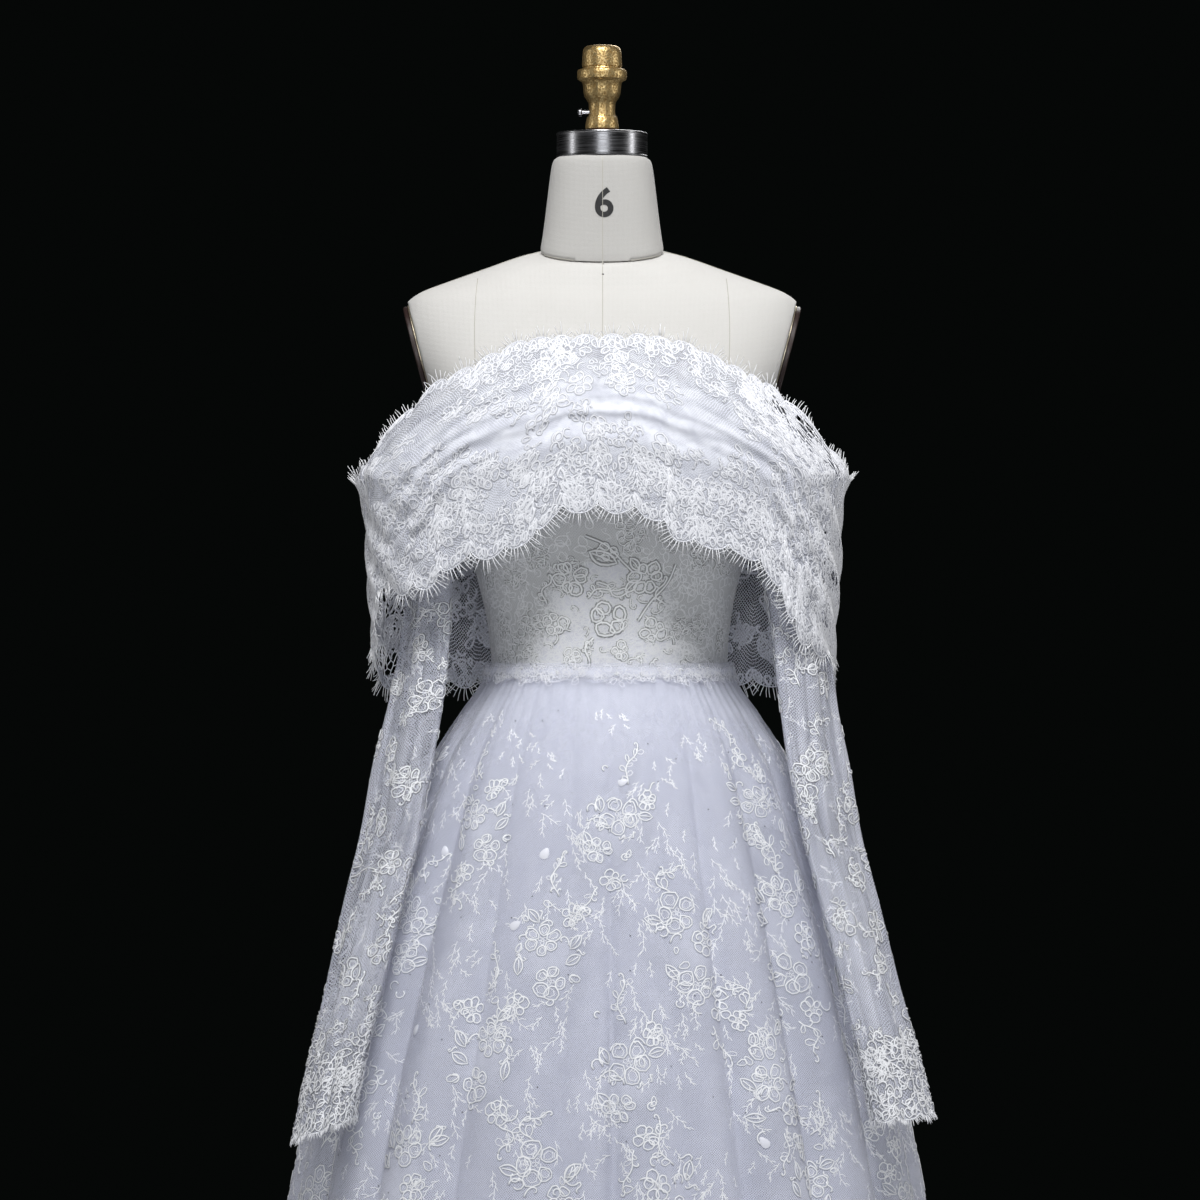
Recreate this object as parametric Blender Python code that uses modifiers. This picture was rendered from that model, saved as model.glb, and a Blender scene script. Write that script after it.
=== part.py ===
"""A lace wedding dress standing on a limbless dress form.

Metres, +Z up, the dress faces -Y and the stand's underside is at z = 0.
Angles round the figure are in degrees: 0 is the centre front and 90 is the +X side.
Every cloth piece is an open sheet, laid out by one of the *_point functions and
given its wall by Solidify, outwards from the sheet.
"""

import math

import bmesh
import bpy
from mathutils import Matrix, Vector

OBJECT_NAME = "wedding_dress_on_form"

# Cloth and the gaps between pieces
LACE_THICKNESS = 0.0012
SATIN_THICKNESS = 0.0012
BODICE_THICKNESS = 0.0018
SEAM_GAP = 0.0003
BODICE_CLEARANCE = 0.003

# Dress form
FORM_COLUMNS = 32
NECK_CAP_RADIUS = 0.0445
NECK_CAP_BOTTOM = 1.5708
NECK_CAP_TOP = 1.5950
NECK_CAP_CHAMFER = 0.0012
WASHER_RADIUS = 0.0156
ARMHOLE_TOP = (0.1885, 1.431)
ARMHOLE_SLOPE = 0.262
PLATE_HALF_DEPTH = 0.043
PLATE_HALF_HEIGHT = 0.047
PLATE_CENTRE_Y = 0.004
PLATE_THICKNESS = 0.0045
PLATE_DROP = 0.002
RIM_THICKNESS = 0.0010
RIM_WIDTH = 0.0006
BUST_DIP = 0.009
BUST_HEIGHT = 1.290
BUST_DIP_HALF_ANGLE = 15
BUST_DIP_HALF_HEIGHT = 0.05
BODY_ROUNDNESS = 0.8
NECK_ROUNDNESS = 0.9

# Stand
BASE_RADIUS = 0.190
POLE_RADIUS = 0.0125

# Finial and its thumb screw
SCREW_HEIGHT = 1.6150
SCREW_SHANK_RADIUS = 0.0021
SCREW_HOLE_RADIUS = 0.0026
SCREW_TIP = -0.0045
SCREW_TIP_CHAMFER = 0.0005
SCREW_HEAD_START = -0.0195
SCREW_HEAD_LENGTH = 0.0040
SCREW_HEAD_RADIUS = 0.0038
SCREW_HEAD_CHAMFER = 0.0006
SCREW_HOLE_END = -0.0035
SCREW_HOLE_CUTTER_LENGTH = 0.020

# Skirt
WAIST_SEAM = 1.066
GORE_COUNT = 6
GORE_COLUMNS = 5
OVERSKIRT_SEAM = 88.5
OVERSKIRT_SEAM_MARGIN = 1
FOLD_SHARPNESS = 0.8

# Cape
CAPE_FRONT_COLUMNS = 48
CAPE_BACK_COLUMNS = 42
COLUMNS_PER_SCALLOP = 3
CAPE_SCALLOP = 0.007
CAPE_TOP_SCALLOP = 0.0028
CAPE_SEAM_FADE = 22
CAPE_BACK_SWELL = 0.006
CAPE_BACK_SWELL_COUNT = 8
HOLE_RIM = 0.0016

# Sleeves
SLEEVE_COLUMNS = 16

# Eyelash fringe
LASH_LENGTH = 0.0085
LASH_SPLAY = 0.30
LASH_ROOT_SHARE = 0.15
STRIP_END = 0.02
STRIP_HEIGHT = 0.0028
STRIP_DEPTH = 0.0011
STRIP_GAP = 0.0013

# Sideways hang of the figure: height, x
SWAY = (
    (0.00, 0.004),
    (0.60, 0.005),
    (1.07, 0.007),
    (1.20, 0.005),
    (1.35, 0.001),
    (1.48, 0.000),
)

# Torso: height, half width, front depth, back depth, rise of the ring from front to back
BODY = (
    (0.780, 0.138, 0.096, 0.108, 0.0),
    (0.840, 0.158, 0.116, 0.128, 0.0),
    (0.900, 0.160, 0.118, 0.130, 0.0),
    (0.960, 0.146, 0.109, 0.115, 0.0),
    (1.015, 0.124, 0.097, 0.094, 0.0),
    (1.045, 0.114, 0.091, 0.085, 0.0),
    (1.072, 0.110, 0.089, 0.082, 0.0),
    (1.100, 0.111, 0.090, 0.084, 0.0),
    (1.130, 0.115, 0.094, 0.088, 0.0),
    (1.165, 0.123, 0.100, 0.093, 0.0),
    (1.200, 0.131, 0.109, 0.098, 0.0),
    (1.230, 0.137, 0.119, 0.101, 0.0),
    (1.260, 0.143, 0.130, 0.104, 0.0),
    (1.285, 0.147, 0.136, 0.107, 0.0),
    (1.305, 0.152, 0.135, 0.109, 0.0),
    (1.330, 0.164, 0.127, 0.112, 0.0),
    (1.355, 0.177, 0.116, 0.114, 0.0),
    (1.385, 0.187, 0.101, 0.113, 0.0),
    (1.410, 0.192, 0.088, 0.107, 0.0),
    (1.431, 0.189, 0.076, 0.099, 0.001),
    (1.439, 0.181, 0.071, 0.094, 0.003),
    (1.447, 0.160, 0.066, 0.088, 0.005),
    (1.460, 0.122, 0.060, 0.078, 0.008),
    (1.473, 0.085, 0.054, 0.068, 0.011),
    (1.479, 0.0620, 0.0500, 0.0600, 0.013),
)

# Neck: height, half width, front depth, back depth, rise
NECK = (
    (1.4795, 0.0606, 0.0490, 0.0590, 0.0127),
    (1.4950, 0.0578, 0.0478, 0.0550, 0.0085),
    (1.5250, 0.0540, 0.0468, 0.0500, 0.0030),
    (1.5600, 0.0500, 0.0460, 0.0470, 0.0),
    (1.5680, 0.0478, 0.0450, 0.0455, 0.0),
    (1.5705, 0.0450, 0.0430, 0.0435, 0.0),
)

# Finial, turned: height, radius
FINIAL_PROFILE = (
    (1.6803, 0.0),
    (1.6796, 0.0090),
    (1.6766, 0.0152),
    (1.6720, 0.0182),
    (1.6580, 0.0190),
    (1.6560, 0.0206),
    (1.6530, 0.0240),
    (1.6490, 0.0240),
    (1.6430, 0.0214),
    (1.6340, 0.0194),
    (1.6265, 0.0152),
    (1.6225, 0.0112),
    (1.6080, 0.0110),
    (1.6055, 0.0138),
    (1.5995, 0.0152),
    (1.5983, 0.0146),
    (1.5983, 0.0),
)

# Stand base, turned: height, radius
BASE_PROFILE = (
    (0.0300, 0.0),
    (0.0300, 0.0220),
    (0.0280, 0.0260),
    (0.0190, 0.0300),
    (0.0140, 0.1780),
    (0.0090, BASE_RADIUS),
    (0.0020, BASE_RADIUS),
    (0.0, BASE_RADIUS - 0.0020),
    (0.0, 0.0),
)

# Top edge of the bodice: angle, height
BODICE_TOP = (
    (0, 1.344),
    (22.5, 1.350),
    (56.25, 1.338),
    (90, 1.322),
    (180, 1.314),
)
BODICE_HEIGHTS = (1.068, 1.100, 1.130, 1.165, 1.200, 1.230, 1.260, 1.290)

# Bodice panels: name, first angle, last angle, columns
BODICE_PANELS = (
    ("bodice_front_centre", -22.5, 22.5, 4),
    ("bodice_front_left", 22.5, 90.0, 6),
    ("bodice_back_left", 90.0, 180.0, 8),
    ("bodice_back_right", 180.0, 270.0, 8),
    ("bodice_front_right", 270.0, 337.5, 6),
)

# Satin lining: height, half width, front depth, back depth, roundness of the plan
LINING = (
    (0.014, 0.362, 0.352, 0.372, 1.00),
    (0.300, 0.318, 0.308, 0.325, 1.00),
    (0.613, 0.257, 0.246, 0.262, 1.00),
    (0.780, 0.215, 0.203, 0.214, 1.00),
    (0.851, 0.198, 0.183, 0.193, 1.00),
    (0.913, 0.180, 0.164, 0.172, 0.97),
    (0.975, 0.157, 0.142, 0.148, 0.92),
    (1.011, 0.137, 0.124, 0.127, 0.88),
    (1.044, 0.120, 0.106, 0.104, 0.82),
    (WAIST_SEAM, 0.1140, 0.0935, 0.0865, 0.80),
)

# Lace overskirt, at the crests of its folds: the same columns, then depth of the folds
OVERSKIRT = (
    (0.012, 0.428, 0.415, 0.440, 1.00, 0.030),
    (0.300, 0.352, 0.345, 0.362, 1.00, 0.024),
    (0.613, 0.299, 0.290, 0.302, 1.00, 0.017),
    (0.800, 0.247, 0.230, 0.244, 1.00, 0.012),
    (0.913, 0.206, 0.190, 0.200, 0.98, 0.009),
    (0.984, 0.176, 0.160, 0.166, 0.93, 0.006),
    (1.022, 0.152, 0.138, 0.140, 0.88, 0.0035),
    (1.044, 0.137, 0.121, 0.119, 0.84, 0.0020),
    (WAIST_SEAM, 0.1195, 0.0990, 0.0920, 0.80, 0.0012),
)
SKIRT_HEIGHTS = (0.012, 0.300, 0.613, 0.800, 0.913, 0.985, 1.035, WAIST_SEAM)

# Grooves between the overskirt's folds: angle, share of the full depth
GROOVES = (
    (-80, 0.8),
    (-64, 0.9),
    (-47, 1.0),
    (-29, 0.9),
    (-10, 0.6),
    (0, 0.8),
    (13, 0.5),
    (25, 1.0),
    (41.5, 1.0),
    (62, 1.0),
    (80, 0.8),
    (97, 0.9),
    (114, 1.0),
    (131, 0.8),
    (149, 1.0),
    (165, 0.7),
    (181, 1.0),
    (198, 0.8),
    (215, 1.0),
    (231, 0.9),
    (247, 1.0),
    (263, 0.9),
)
FOLD_PHASES = (0.0, 0.18, 0.50, 0.82)

# Waist trim: height, half width, front depth, back depth
WAIST_TRIM = (
    (1.046, 0.1385, 0.1230, 0.1210),
    (WAIST_SEAM, 0.1222, 0.1016, 0.0946),
    (1.082, 0.1190, 0.0985, 0.0915),
)
WAIST_TRIM_COLUMNS = 36
WAIST_TRIM_SCALLOP = 0.005
WAIST_TRIM_THICKNESS = 0.0010
WAIST_TRIM_ROUNDNESS = 0.8

# Cape, seen from above: height, half width, front depth, back depth
CAPE_PLAN = (
    (1.040, 0.222, 0.150, 0.134),
    (1.100, 0.221, 0.151, 0.132),
    (1.167, 0.226, 0.151, 0.128),
    (1.210, 0.228, 0.150, 0.125),
    (1.245, 0.234, 0.149, 0.123),
    (1.262, 0.240, 0.148, 0.122),
    (1.290, 0.226, 0.147, 0.121),
    (1.320, 0.206, 0.141, 0.122),
    (1.345, 0.191, 0.131, 0.122),
    (1.370, 0.181, 0.118, 0.121),
    (1.400, 0.174, 0.101, 0.118),
)
CAPE_ROUNDNESS = 0.77

# Front cape edges: angle, top height, bottom height
CAPE_FRONT_EDGES = (
    (-90, 1.254, 1.098),
    (-76, 1.262, 1.104),
    (-70, 1.275, 1.146),
    (-66, 1.300, 1.160),
    (-61, 1.326, 1.163),
    (-56, 1.342, 1.160),
    (-51, 1.354, 1.158),
    (-40, 1.365, 1.166),
    (-30, 1.380, 1.186),
    (-20, 1.394, 1.190),
    (-11, 1.398, 1.207),
    (-7, 1.398, 1.228),
    (0, 1.397, 1.236),
    (8, 1.398, 1.227),
    (12, 1.397, 1.208),
    (20, 1.393, 1.198),
    (30, 1.380, 1.190),
    (40, 1.366, 1.168),
    (46, 1.358, 1.140),
    (52, 1.350, 1.115),
    (58, 1.340, 1.104),
    (66, 1.310, 1.096),
    (72, 1.290, 1.094),
    (78, 1.272, 1.092),
    (90, 1.256, 1.088),
)

# Back cape edges: angle, top height, bottom height
CAPE_BACK_EDGES = (
    (90, 1.256, 1.088),
    (102, 1.272, 1.066),
    (114, 1.315, 1.060),
    (130, 1.352, 1.062),
    (150, 1.366, 1.066),
    (180, 1.368, 1.068),
    (210, 1.366, 1.066),
    (230, 1.352, 1.062),
    (246, 1.315, 1.064),
    (258, 1.272, 1.074),
    (270, 1.254, 1.098),
)

# Drape of the front cape: share of the way down, how far it stands out
CAPE_FOLDS = (
    (0.00, 0.0000),
    (0.14, 0.0015),
    (0.28, 0.0030),
    (0.42, 0.0095),
    (0.52, 0.0015),
    (0.60, 0.0080),
    (0.68, 0.0020),
    (0.82, 0.0070),
    (1.00, 0.0080),
)
CAPE_BACK_ROWS = (0.0, 0.18, 0.38, 0.60, 0.82, 1.0)

# Open net of the cape, row by row from the top edge: first column, last column
NET_FRONT = (
    (0, 2, 7),
    (1, 1, 5),
    (2, 1, 3),
    (0, 39, 46),
    (1, 40, 46),
    (2, 43, 46),
)
NET_BACK = (
    (0, 1, 4),
    (1, 1, 3),
    (0, 37, 40),
    (1, 38, 40),
    (4, 34, 40),
    (3, 36, 40),
)

# Sleeves, cuff to top: centre height, centre x, centre y, half of the long way,
# half of the short way, turn of the long way from front to back, drop of the outer side
SLEEVE_LEFT = (
    (0.6620, 0.2810, -0.1840, 0.042, 0.0190, 37, -0.05),
    (0.7200, 0.2670, -0.1690, 0.042, 0.0180, 36, 0.00),
    (0.7800, 0.2515, -0.1520, 0.043, 0.0185, 34, 0.10),
    (0.8570, 0.2325, -0.1290, 0.045, 0.0180, 32, 0.10),
    (0.9200, 0.2165, -0.1080, 0.047, 0.0180, 30, 0.10),
    (0.9870, 0.2055, -0.0880, 0.049, 0.0200, 28, 0.10),
    (1.0440, 0.1965, -0.0660, 0.050, 0.0220, 22, 0.10),
    (1.1050, 0.1890, -0.0480, 0.052, 0.0230, 18, 0.10),
    (1.1670, 0.1790, -0.0330, 0.053, 0.0220, 14, 0.20),
    (1.2200, 0.1800, -0.0180, 0.055, 0.0230, 10, 0.45),
    (1.2600, 0.1900, -0.0080, 0.057, 0.0245, 5, 0.80),
    (1.2930, 0.1970, -0.0020, 0.058, 0.0250, 0, 1.10),
)
SLEEVE_RIGHT = (
    (0.6520, -0.2605, -0.1850, 0.042, 0.0180, 37, 0.42),
    (0.7200, -0.2462, -0.1685, 0.042, 0.0175, 36, 0.30),
    (0.7800, -0.2320, -0.1520, 0.043, 0.0180, 34, 0.20),
    (0.8570, -0.2150, -0.1290, 0.045, 0.0180, 32, 0.10),
    (0.9200, -0.2000, -0.1080, 0.047, 0.0180, 30, 0.10),
    (0.9870, -0.1890, -0.0880, 0.048, 0.0190, 28, 0.10),
    (1.0440, -0.1780, -0.0660, 0.048, 0.0190, 24, 0.10),
    (1.1050, -0.1690, -0.0480, 0.048, 0.0180, 19, 0.10),
    (1.1670, -0.1660, -0.0330, 0.050, 0.0180, 14, 0.20),
    (1.2200, -0.1720, -0.0180, 0.054, 0.0210, 10, 0.45),
    (1.2600, -0.1850, -0.0080, 0.057, 0.0240, 5, 0.80),
    (1.2930, -0.1940, -0.0020, 0.058, 0.0250, 0, 1.10),
)
SLEEVE_FOLD_COUNT = 5
SLEEVE_FOLD_DEPTH = 0.0022
SLEEVE_FOLD_TWIST = 9
SLEEVE_FADE_ROWS = 4
CUFF_SCALLOP = 0.004

# Finishes: base colour, roughness, metallic
FINISHES = {
    "linen": ((0.76, 0.74, 0.70), 0.85, 0.0),
    "lace": ((0.80, 0.81, 0.87), 0.75, 0.0),
    "satin": ((0.72, 0.73, 0.78), 0.40, 0.0),
    "steel": ((0.55, 0.56, 0.58), 0.28, 1.0),
    "gold": ((0.62, 0.47, 0.22), 0.38, 1.0),
    "brass": ((0.70, 0.62, 0.46), 0.30, 1.0),
    "dark_plate": ((0.03, 0.02, 0.02), 0.45, 0.0),
    "fibre": ((0.10, 0.03, 0.03), 0.60, 0.0),
    "dark_iron": ((0.05, 0.05, 0.05), 0.45, 0.6),
}


def clear_scene():
    for thing in list(bpy.data.objects):
        bpy.data.objects.remove(thing, do_unlink=True)


def make_collection(name):
    group = bpy.data.collections.new(name)
    bpy.context.scene.collection.children.link(group)
    return group


def finish_material(name):
    found = bpy.data.materials.get(name)
    if found:
        return found
    colour, roughness, metallic = FINISHES[name]
    made = bpy.data.materials.new(name)
    made.use_nodes = True
    shader = made.node_tree.nodes["Principled BSDF"]
    shader.inputs["Base Color"].default_value = (*colour, 1.0)
    shader.inputs["Roughness"].default_value = roughness
    shader.inputs["Metallic"].default_value = metallic
    return made


def add_object(name, mesh, finish, group):
    mesh.materials.append(finish_material(finish))
    thing = bpy.data.objects.new(name, mesh)
    group.objects.link(thing)
    return thing


def slope_at(table, row, column):
    before = table[max(row - 1, 0)]
    after = table[min(row + 1, len(table) - 1)]
    return (after[column] - before[column]) / (after[0] - before[0])


def along(table, place, column):
    """The smooth value of a column at a place between the rows of a table."""
    if place <= table[0][0]:
        return table[0][column]
    if place >= table[-1][0]:
        return table[-1][column]
    row = 0
    while table[row + 1][0] < place:
        row += 1
    low, high = table[row], table[row + 1]
    span = high[0] - low[0]
    t = (place - low[0]) / span
    rise = high[column] - low[column]
    start = slope_at(table, row, column) * span
    end = slope_at(table, row + 1, column) * span
    curve = (start + end - 2 * rise) * t + (3 * rise - 2 * start - end)
    return low[column] + start * t + curve * t * t


def straight(table, place, column):
    """The value of a column at a place, straight from row to row."""
    if place <= table[0][0]:
        return table[0][column]
    for low, high in zip(table, table[1:]):
        if place <= high[0]:
            t = (place - low[0]) / (high[0] - low[0])
            return low[column] + (high[column] - low[column]) * t
    return table[-1][column]


def bell(value, centre, width):
    return math.exp(-(((value - centre) / width) ** 2))


def oval(angle, half_width, front, back, roundness):
    """A plan point on an oval with its own front and back depth; roundness 1 is an ellipse."""
    side = math.sin(math.radians(angle))
    ahead = math.cos(math.radians(angle))
    depth = front if ahead > 0 else back
    x = half_width * math.copysign(abs(side) ** roundness, side)
    y = -depth * math.copysign(abs(ahead) ** roundness, ahead)
    return x, y


def body_point(angle, height, out=0.0):
    """A point on the dress form's torso, moved out by a distance."""
    turn = (angle + 180) % 360 - 180
    dip = BUST_DIP * bell(turn, 0, BUST_DIP_HALF_ANGLE)
    dip *= bell(height, BUST_HEIGHT, BUST_DIP_HALF_HEIGHT)
    x, y = oval(
        angle,
        along(BODY, height, 1) + out,
        along(BODY, height, 2) + out - dip,
        along(BODY, height, 3) + out,
        BODY_ROUNDNESS,
    )
    rise = along(BODY, height, 4) * -math.cos(math.radians(angle))
    return Vector((x + along(SWAY, height, 1), y, height + rise))


def neck_point(angle, height):
    half_width, front, back, rise = (along(NECK, height, column) for column in (1, 2, 3, 4))
    x, y = oval(angle, half_width, front, back, NECK_ROUNDNESS)
    return Vector((x, y, height - rise * math.cos(math.radians(angle))))


def lining_point(angle, height):
    half_width, front, back, roundness = (along(LINING, height, c) for c in (1, 2, 3, 4))
    x, y = oval(angle, half_width, front, back, roundness)
    return Vector((x + along(SWAY, height, 1), y, height))


def fold_at(angle):
    """Where an angle lies in its fold, from 0 at one groove to 1 at the next, and its depth."""
    turn = (angle - GROOVES[0][0]) % 360 + GROOVES[0][0]
    ring = GROOVES + ((GROOVES[0][0] + 360, GROOVES[0][1]),)
    for low, high in zip(ring, ring[1:]):
        if turn <= high[0]:
            phase = (turn - low[0]) / (high[0] - low[0])
            return phase, low[1] + (high[1] - low[1]) * phase
    return 0.0, ring[-1][1]


def overskirt_point(angle, height):
    half_width, front, back, roundness, depth = (
        along(OVERSKIRT, height, column) for column in (1, 2, 3, 4, 5)
    )
    phase, share = fold_at(angle)
    groove = depth * share * (1 - math.sin(math.pi * phase) ** FOLD_SHARPNESS)
    x, y = oval(angle, half_width - groove, front - groove, back - groove, roundness)
    return Vector((x + along(SWAY, height, 1), y, height))


def overskirt_angles(first, last):
    """Column angles from one side to the other, the same few in each fold."""
    ring = GROOVES + ((GROOVES[0][0] + 360, GROOVES[0][1]),)
    angles = []
    for low, high in zip(ring, ring[1:]):
        for phase in FOLD_PHASES:
            angles.append(low[0] + (high[0] - low[0]) * phase)
    wanted = []
    for turn in (0, 360):
        wanted += [angle + turn for angle in angles]
    low, high = first + OVERSKIRT_SEAM_MARGIN, last - OVERSKIRT_SEAM_MARGIN
    wanted = [angle for angle in wanted if low < angle < high]
    return [first] + sorted(wanted) + [last]


def scallop(column):
    """0 at the notch between two scallops and 1 at the columns between two notches."""
    peak = math.sin(math.pi / COLUMNS_PER_SCALLOP) ** 2
    return math.sin(math.pi * column / COLUMNS_PER_SCALLOP) ** 2 / peak


def cape_point(angle, down, edges, stand_out, column):
    """A point of the cape: down runs from 0 at its top edge to 1 at its bottom edge."""
    top = along(edges, angle, 1) + CAPE_TOP_SCALLOP * scallop(column)
    bottom = along(edges, angle, 2) - CAPE_SCALLOP * scallop(column)
    height = top + (bottom - top) * down
    half_width, front, back = (along(CAPE_PLAN, height, c) + stand_out for c in (1, 2, 3))
    x, y = oval(angle, half_width, front, back, CAPE_ROUNDNESS)
    return Vector((x, y, height))


def cape_front_point(column, row, out=0.0):
    angle = -90 + 180 * column / CAPE_FRONT_COLUMNS
    down, stand_out = CAPE_FOLDS[row]
    fade = 1 - bell(abs(angle), 90, CAPE_SEAM_FADE)
    return cape_point(angle, down, CAPE_FRONT_EDGES, stand_out * fade + out, column)


def cape_back_point(column, row, out=0.0):
    angle = 90 + 180 * column / CAPE_BACK_COLUMNS
    down = CAPE_BACK_ROWS[row]
    wave = math.cos(math.radians(CAPE_BACK_SWELL_COUNT * (angle - 180))) ** 2
    swell = CAPE_BACK_SWELL * down * wave
    swell *= 1 - bell(abs(angle - 180), 90, CAPE_SEAM_FADE)
    return cape_point(angle, down, CAPE_BACK_EDGES, swell + out, column)


def sleeve_point(table, place, angle):
    """A point of a sleeve; place counts the table's rows, and angle 0 is its outer middle."""
    low = min(int(place), len(table) - 2)
    share = place - low
    centre_z, centre_x, centre_y, long_half, short_half, turn, drop = (
        low_value + (high_value - low_value) * share
        for low_value, high_value in zip(table[low], table[low + 1])
    )
    side = math.copysign(1, centre_x)
    yaw = math.radians(turn)
    outward = Vector((side * math.cos(yaw), -math.sin(yaw), 0))
    backward = Vector((side * math.sin(yaw), math.cos(yaw), 0))
    round_angle = math.radians(angle)
    twist = SLEEVE_FOLD_COUNT * round_angle + SLEEVE_FOLD_TWIST * centre_z
    fade = min(1, (len(table) - 1 - place) / SLEEVE_FADE_ROWS)
    fold = SLEEVE_FOLD_DEPTH * math.cos(twist) * fade
    across = (short_half + fold) * math.cos(round_angle)
    lengthways = (long_half + fold) * math.sin(round_angle)
    point = outward * across + backward * lengthways
    point.z = centre_z - drop * side * point.x
    point.x += centre_x
    point.y += centre_y
    return point


def waist_trim_point(angle, share):
    """share is 0 at the scalloped lower edge, 0.5 at the waist seam and 1 at the top."""
    low, seam, top = (row[0] for row in WAIST_TRIM)
    column = angle * WAIST_TRIM_COLUMNS / 360
    low += WAIST_TRIM_SCALLOP * (1 - scallop(column))
    height = low + (seam - low) * 2 * share if share < 0.5 else seam + (top - seam) * (2 * share - 1)
    half_width, front, back = (straight(WAIST_TRIM, height, c) for c in (1, 2, 3))
    x, y = oval(angle, half_width, front, back, WAIST_TRIM_ROUNDNESS)
    return Vector((x + along(SWAY, height, 1), y, height))


def seam_place(place, column, columns, row):
    """A sheet's corner; along its two seams it is drawn in by half of the seam gap."""
    corner = place(column, row)
    if 0 < column < columns:
        return corner
    inner = place(1 if column == 0 else columns - 1, row)
    return corner + (inner - corner).normalized() * SEAM_GAP / 2


def sheet_mesh(columns, rows, place, ring=False):
    """A grid of columns and rows whose corners are put where place(column, row) says."""
    bm = bmesh.new()
    bmesh.ops.create_grid(bm, x_segments=columns, y_segments=rows, size=0.5)
    for corner in bm.verts:
        column = round((corner.co.x + 0.5) * columns)
        row = round((corner.co.y + 0.5) * rows)
        if ring:
            corner.co = place(column % columns, row)
        else:
            corner.co = seam_place(place, column, columns, row)
    if ring:
        bmesh.ops.remove_doubles(bm, verts=bm.verts, dist=0.00005)
    return bm


def to_mesh(name, bm):
    mesh = bpy.data.meshes.new(name)
    bm.to_mesh(mesh)
    bm.free()
    mesh.shade_smooth()
    mesh.set_sharp_from_angle(angle=math.radians(40))
    return mesh


def add_wall(thing, thickness):
    wall = thing.modifiers.new("Wall", "SOLIDIFY")
    wall.thickness = thickness
    wall.offset = 1.0


def cloth_piece(name, columns, rows, place, thickness, finish, group, ring=False):
    bm = sheet_mesh(columns, rows, place, ring)
    thing = add_object(name, to_mesh(name, bm), finish, group)
    add_wall(thing, thickness)
    return thing


def closed_stack(heights, place):
    """A closed solid through rings at the given heights, shut at both ends."""
    bm = sheet_mesh(FORM_COLUMNS, len(heights) - 1, place, ring=True)
    rims = [edge for edge in bm.edges if edge.is_boundary]
    ends = bmesh.ops.edgeloop_fill(bm, edges=rims)["faces"]
    bmesh.ops.poke(bm, faces=ends)
    bmesh.ops.recalc_face_normals(bm, faces=bm.faces)
    return bm


def turned_piece(name, profile, steps, finish, group):
    """A solid turned about Z from rows of height and radius, listed from the top down."""
    mesh = bpy.data.meshes.new(name)
    corners = [(radius, 0.0, height) for height, radius in profile]
    mesh.from_pydata(corners, [(i, i + 1) for i in range(len(corners) - 1)], [])
    thing = add_object(name, mesh, finish, group)
    turn = thing.modifiers.new("Turn", "SCREW")
    turn.steps = steps
    turn.render_steps = steps
    turn.use_merge_vertices = True
    turn.merge_threshold = 0.0001
    return thing


def cylinder_piece(name, radius, bottom, top, sides, bevel, finish, group):
    bm = bmesh.new()
    middle = Matrix.Translation((0, 0, (bottom + top) / 2))
    bmesh.ops.create_cone(
        bm,
        cap_ends=True,
        segments=sides,
        radius1=radius,
        radius2=radius,
        depth=top - bottom,
        matrix=middle,
    )
    thing = add_object(name, to_mesh(name, bm), finish, group)
    if bevel:
        edge = thing.modifiers.new("Edge", "BEVEL")
        edge.width = bevel
        edge.segments = 1
        edge.limit_method = "ANGLE"
    return thing


def armhole_frame(side):
    """The armhole's middle and the turn that lays a disc on its slanted face."""
    top_x, top_z = ARMHOLE_TOP
    centre_z = top_z - PLATE_HALF_HEIGHT - PLATE_DROP
    centre_x = top_x - ARMHOLE_SLOPE * (top_z - centre_z)
    normal = Vector((side, 0, -ARMHOLE_SLOPE)).normalized()
    lengthways = Vector((0, 1, 0))
    upward = normal.cross(lengthways)
    turn = Matrix((lengthways, upward, normal)).transposed().to_4x4()
    return Vector((side * centre_x, PLATE_CENTRE_Y, centre_z)), normal, turn


def oval_disc(name, side, half_depth, half_height, start, thickness, finish, group):
    centre, normal, turn = armhole_frame(side)
    bm = bmesh.new()
    bmesh.ops.create_cone(
        bm, cap_ends=True, segments=24, radius1=1.0, radius2=1.0, depth=thickness
    )
    bmesh.ops.scale(bm, vec=(half_depth, half_height, 1.0), verts=bm.verts)
    place = Matrix.Translation(centre + normal * (start + thickness / 2)) @ turn
    bmesh.ops.transform(bm, matrix=place, verts=bm.verts)
    return add_object(name, to_mesh(name, bm), finish, group)


def make_torso(group):
    heights = [row[0] for row in BODY]

    def place(column, row):
        return body_point(360 * column / FORM_COLUMNS, heights[row])

    bm = closed_stack(heights, place)
    for side in (-1, 1):
        centre, normal, turn = armhole_frame(side)
        everything = bm.verts[:] + bm.edges[:] + bm.faces[:]
        cut = bmesh.ops.bisect_plane(
            bm, geom=everything, plane_co=centre, plane_no=normal, clear_outer=True
        )
        rim = [part for part in cut["geom_cut"] if isinstance(part, bmesh.types.BMEdge)]
        bmesh.ops.edgeloop_fill(bm, edges=rim)
    bmesh.ops.dissolve_degenerate(bm, edges=bm.edges[:], dist=0.0002)
    bmesh.ops.recalc_face_normals(bm, faces=bm.faces)
    add_object("form_torso", to_mesh("form_torso", bm), "linen", group)


def make_neck(group):
    heights = [row[0] for row in NECK]

    def place(column, row):
        return neck_point(360 * column / FORM_COLUMNS, heights[row])

    bm = closed_stack(heights, place)
    add_object("form_neck", to_mesh("form_neck", bm), "linen", group)
    cylinder_piece(
        "neck_cap",
        NECK_CAP_RADIUS,
        NECK_CAP_BOTTOM,
        NECK_CAP_TOP,
        32,
        NECK_CAP_CHAMFER,
        "steel",
        group,
    )


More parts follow.
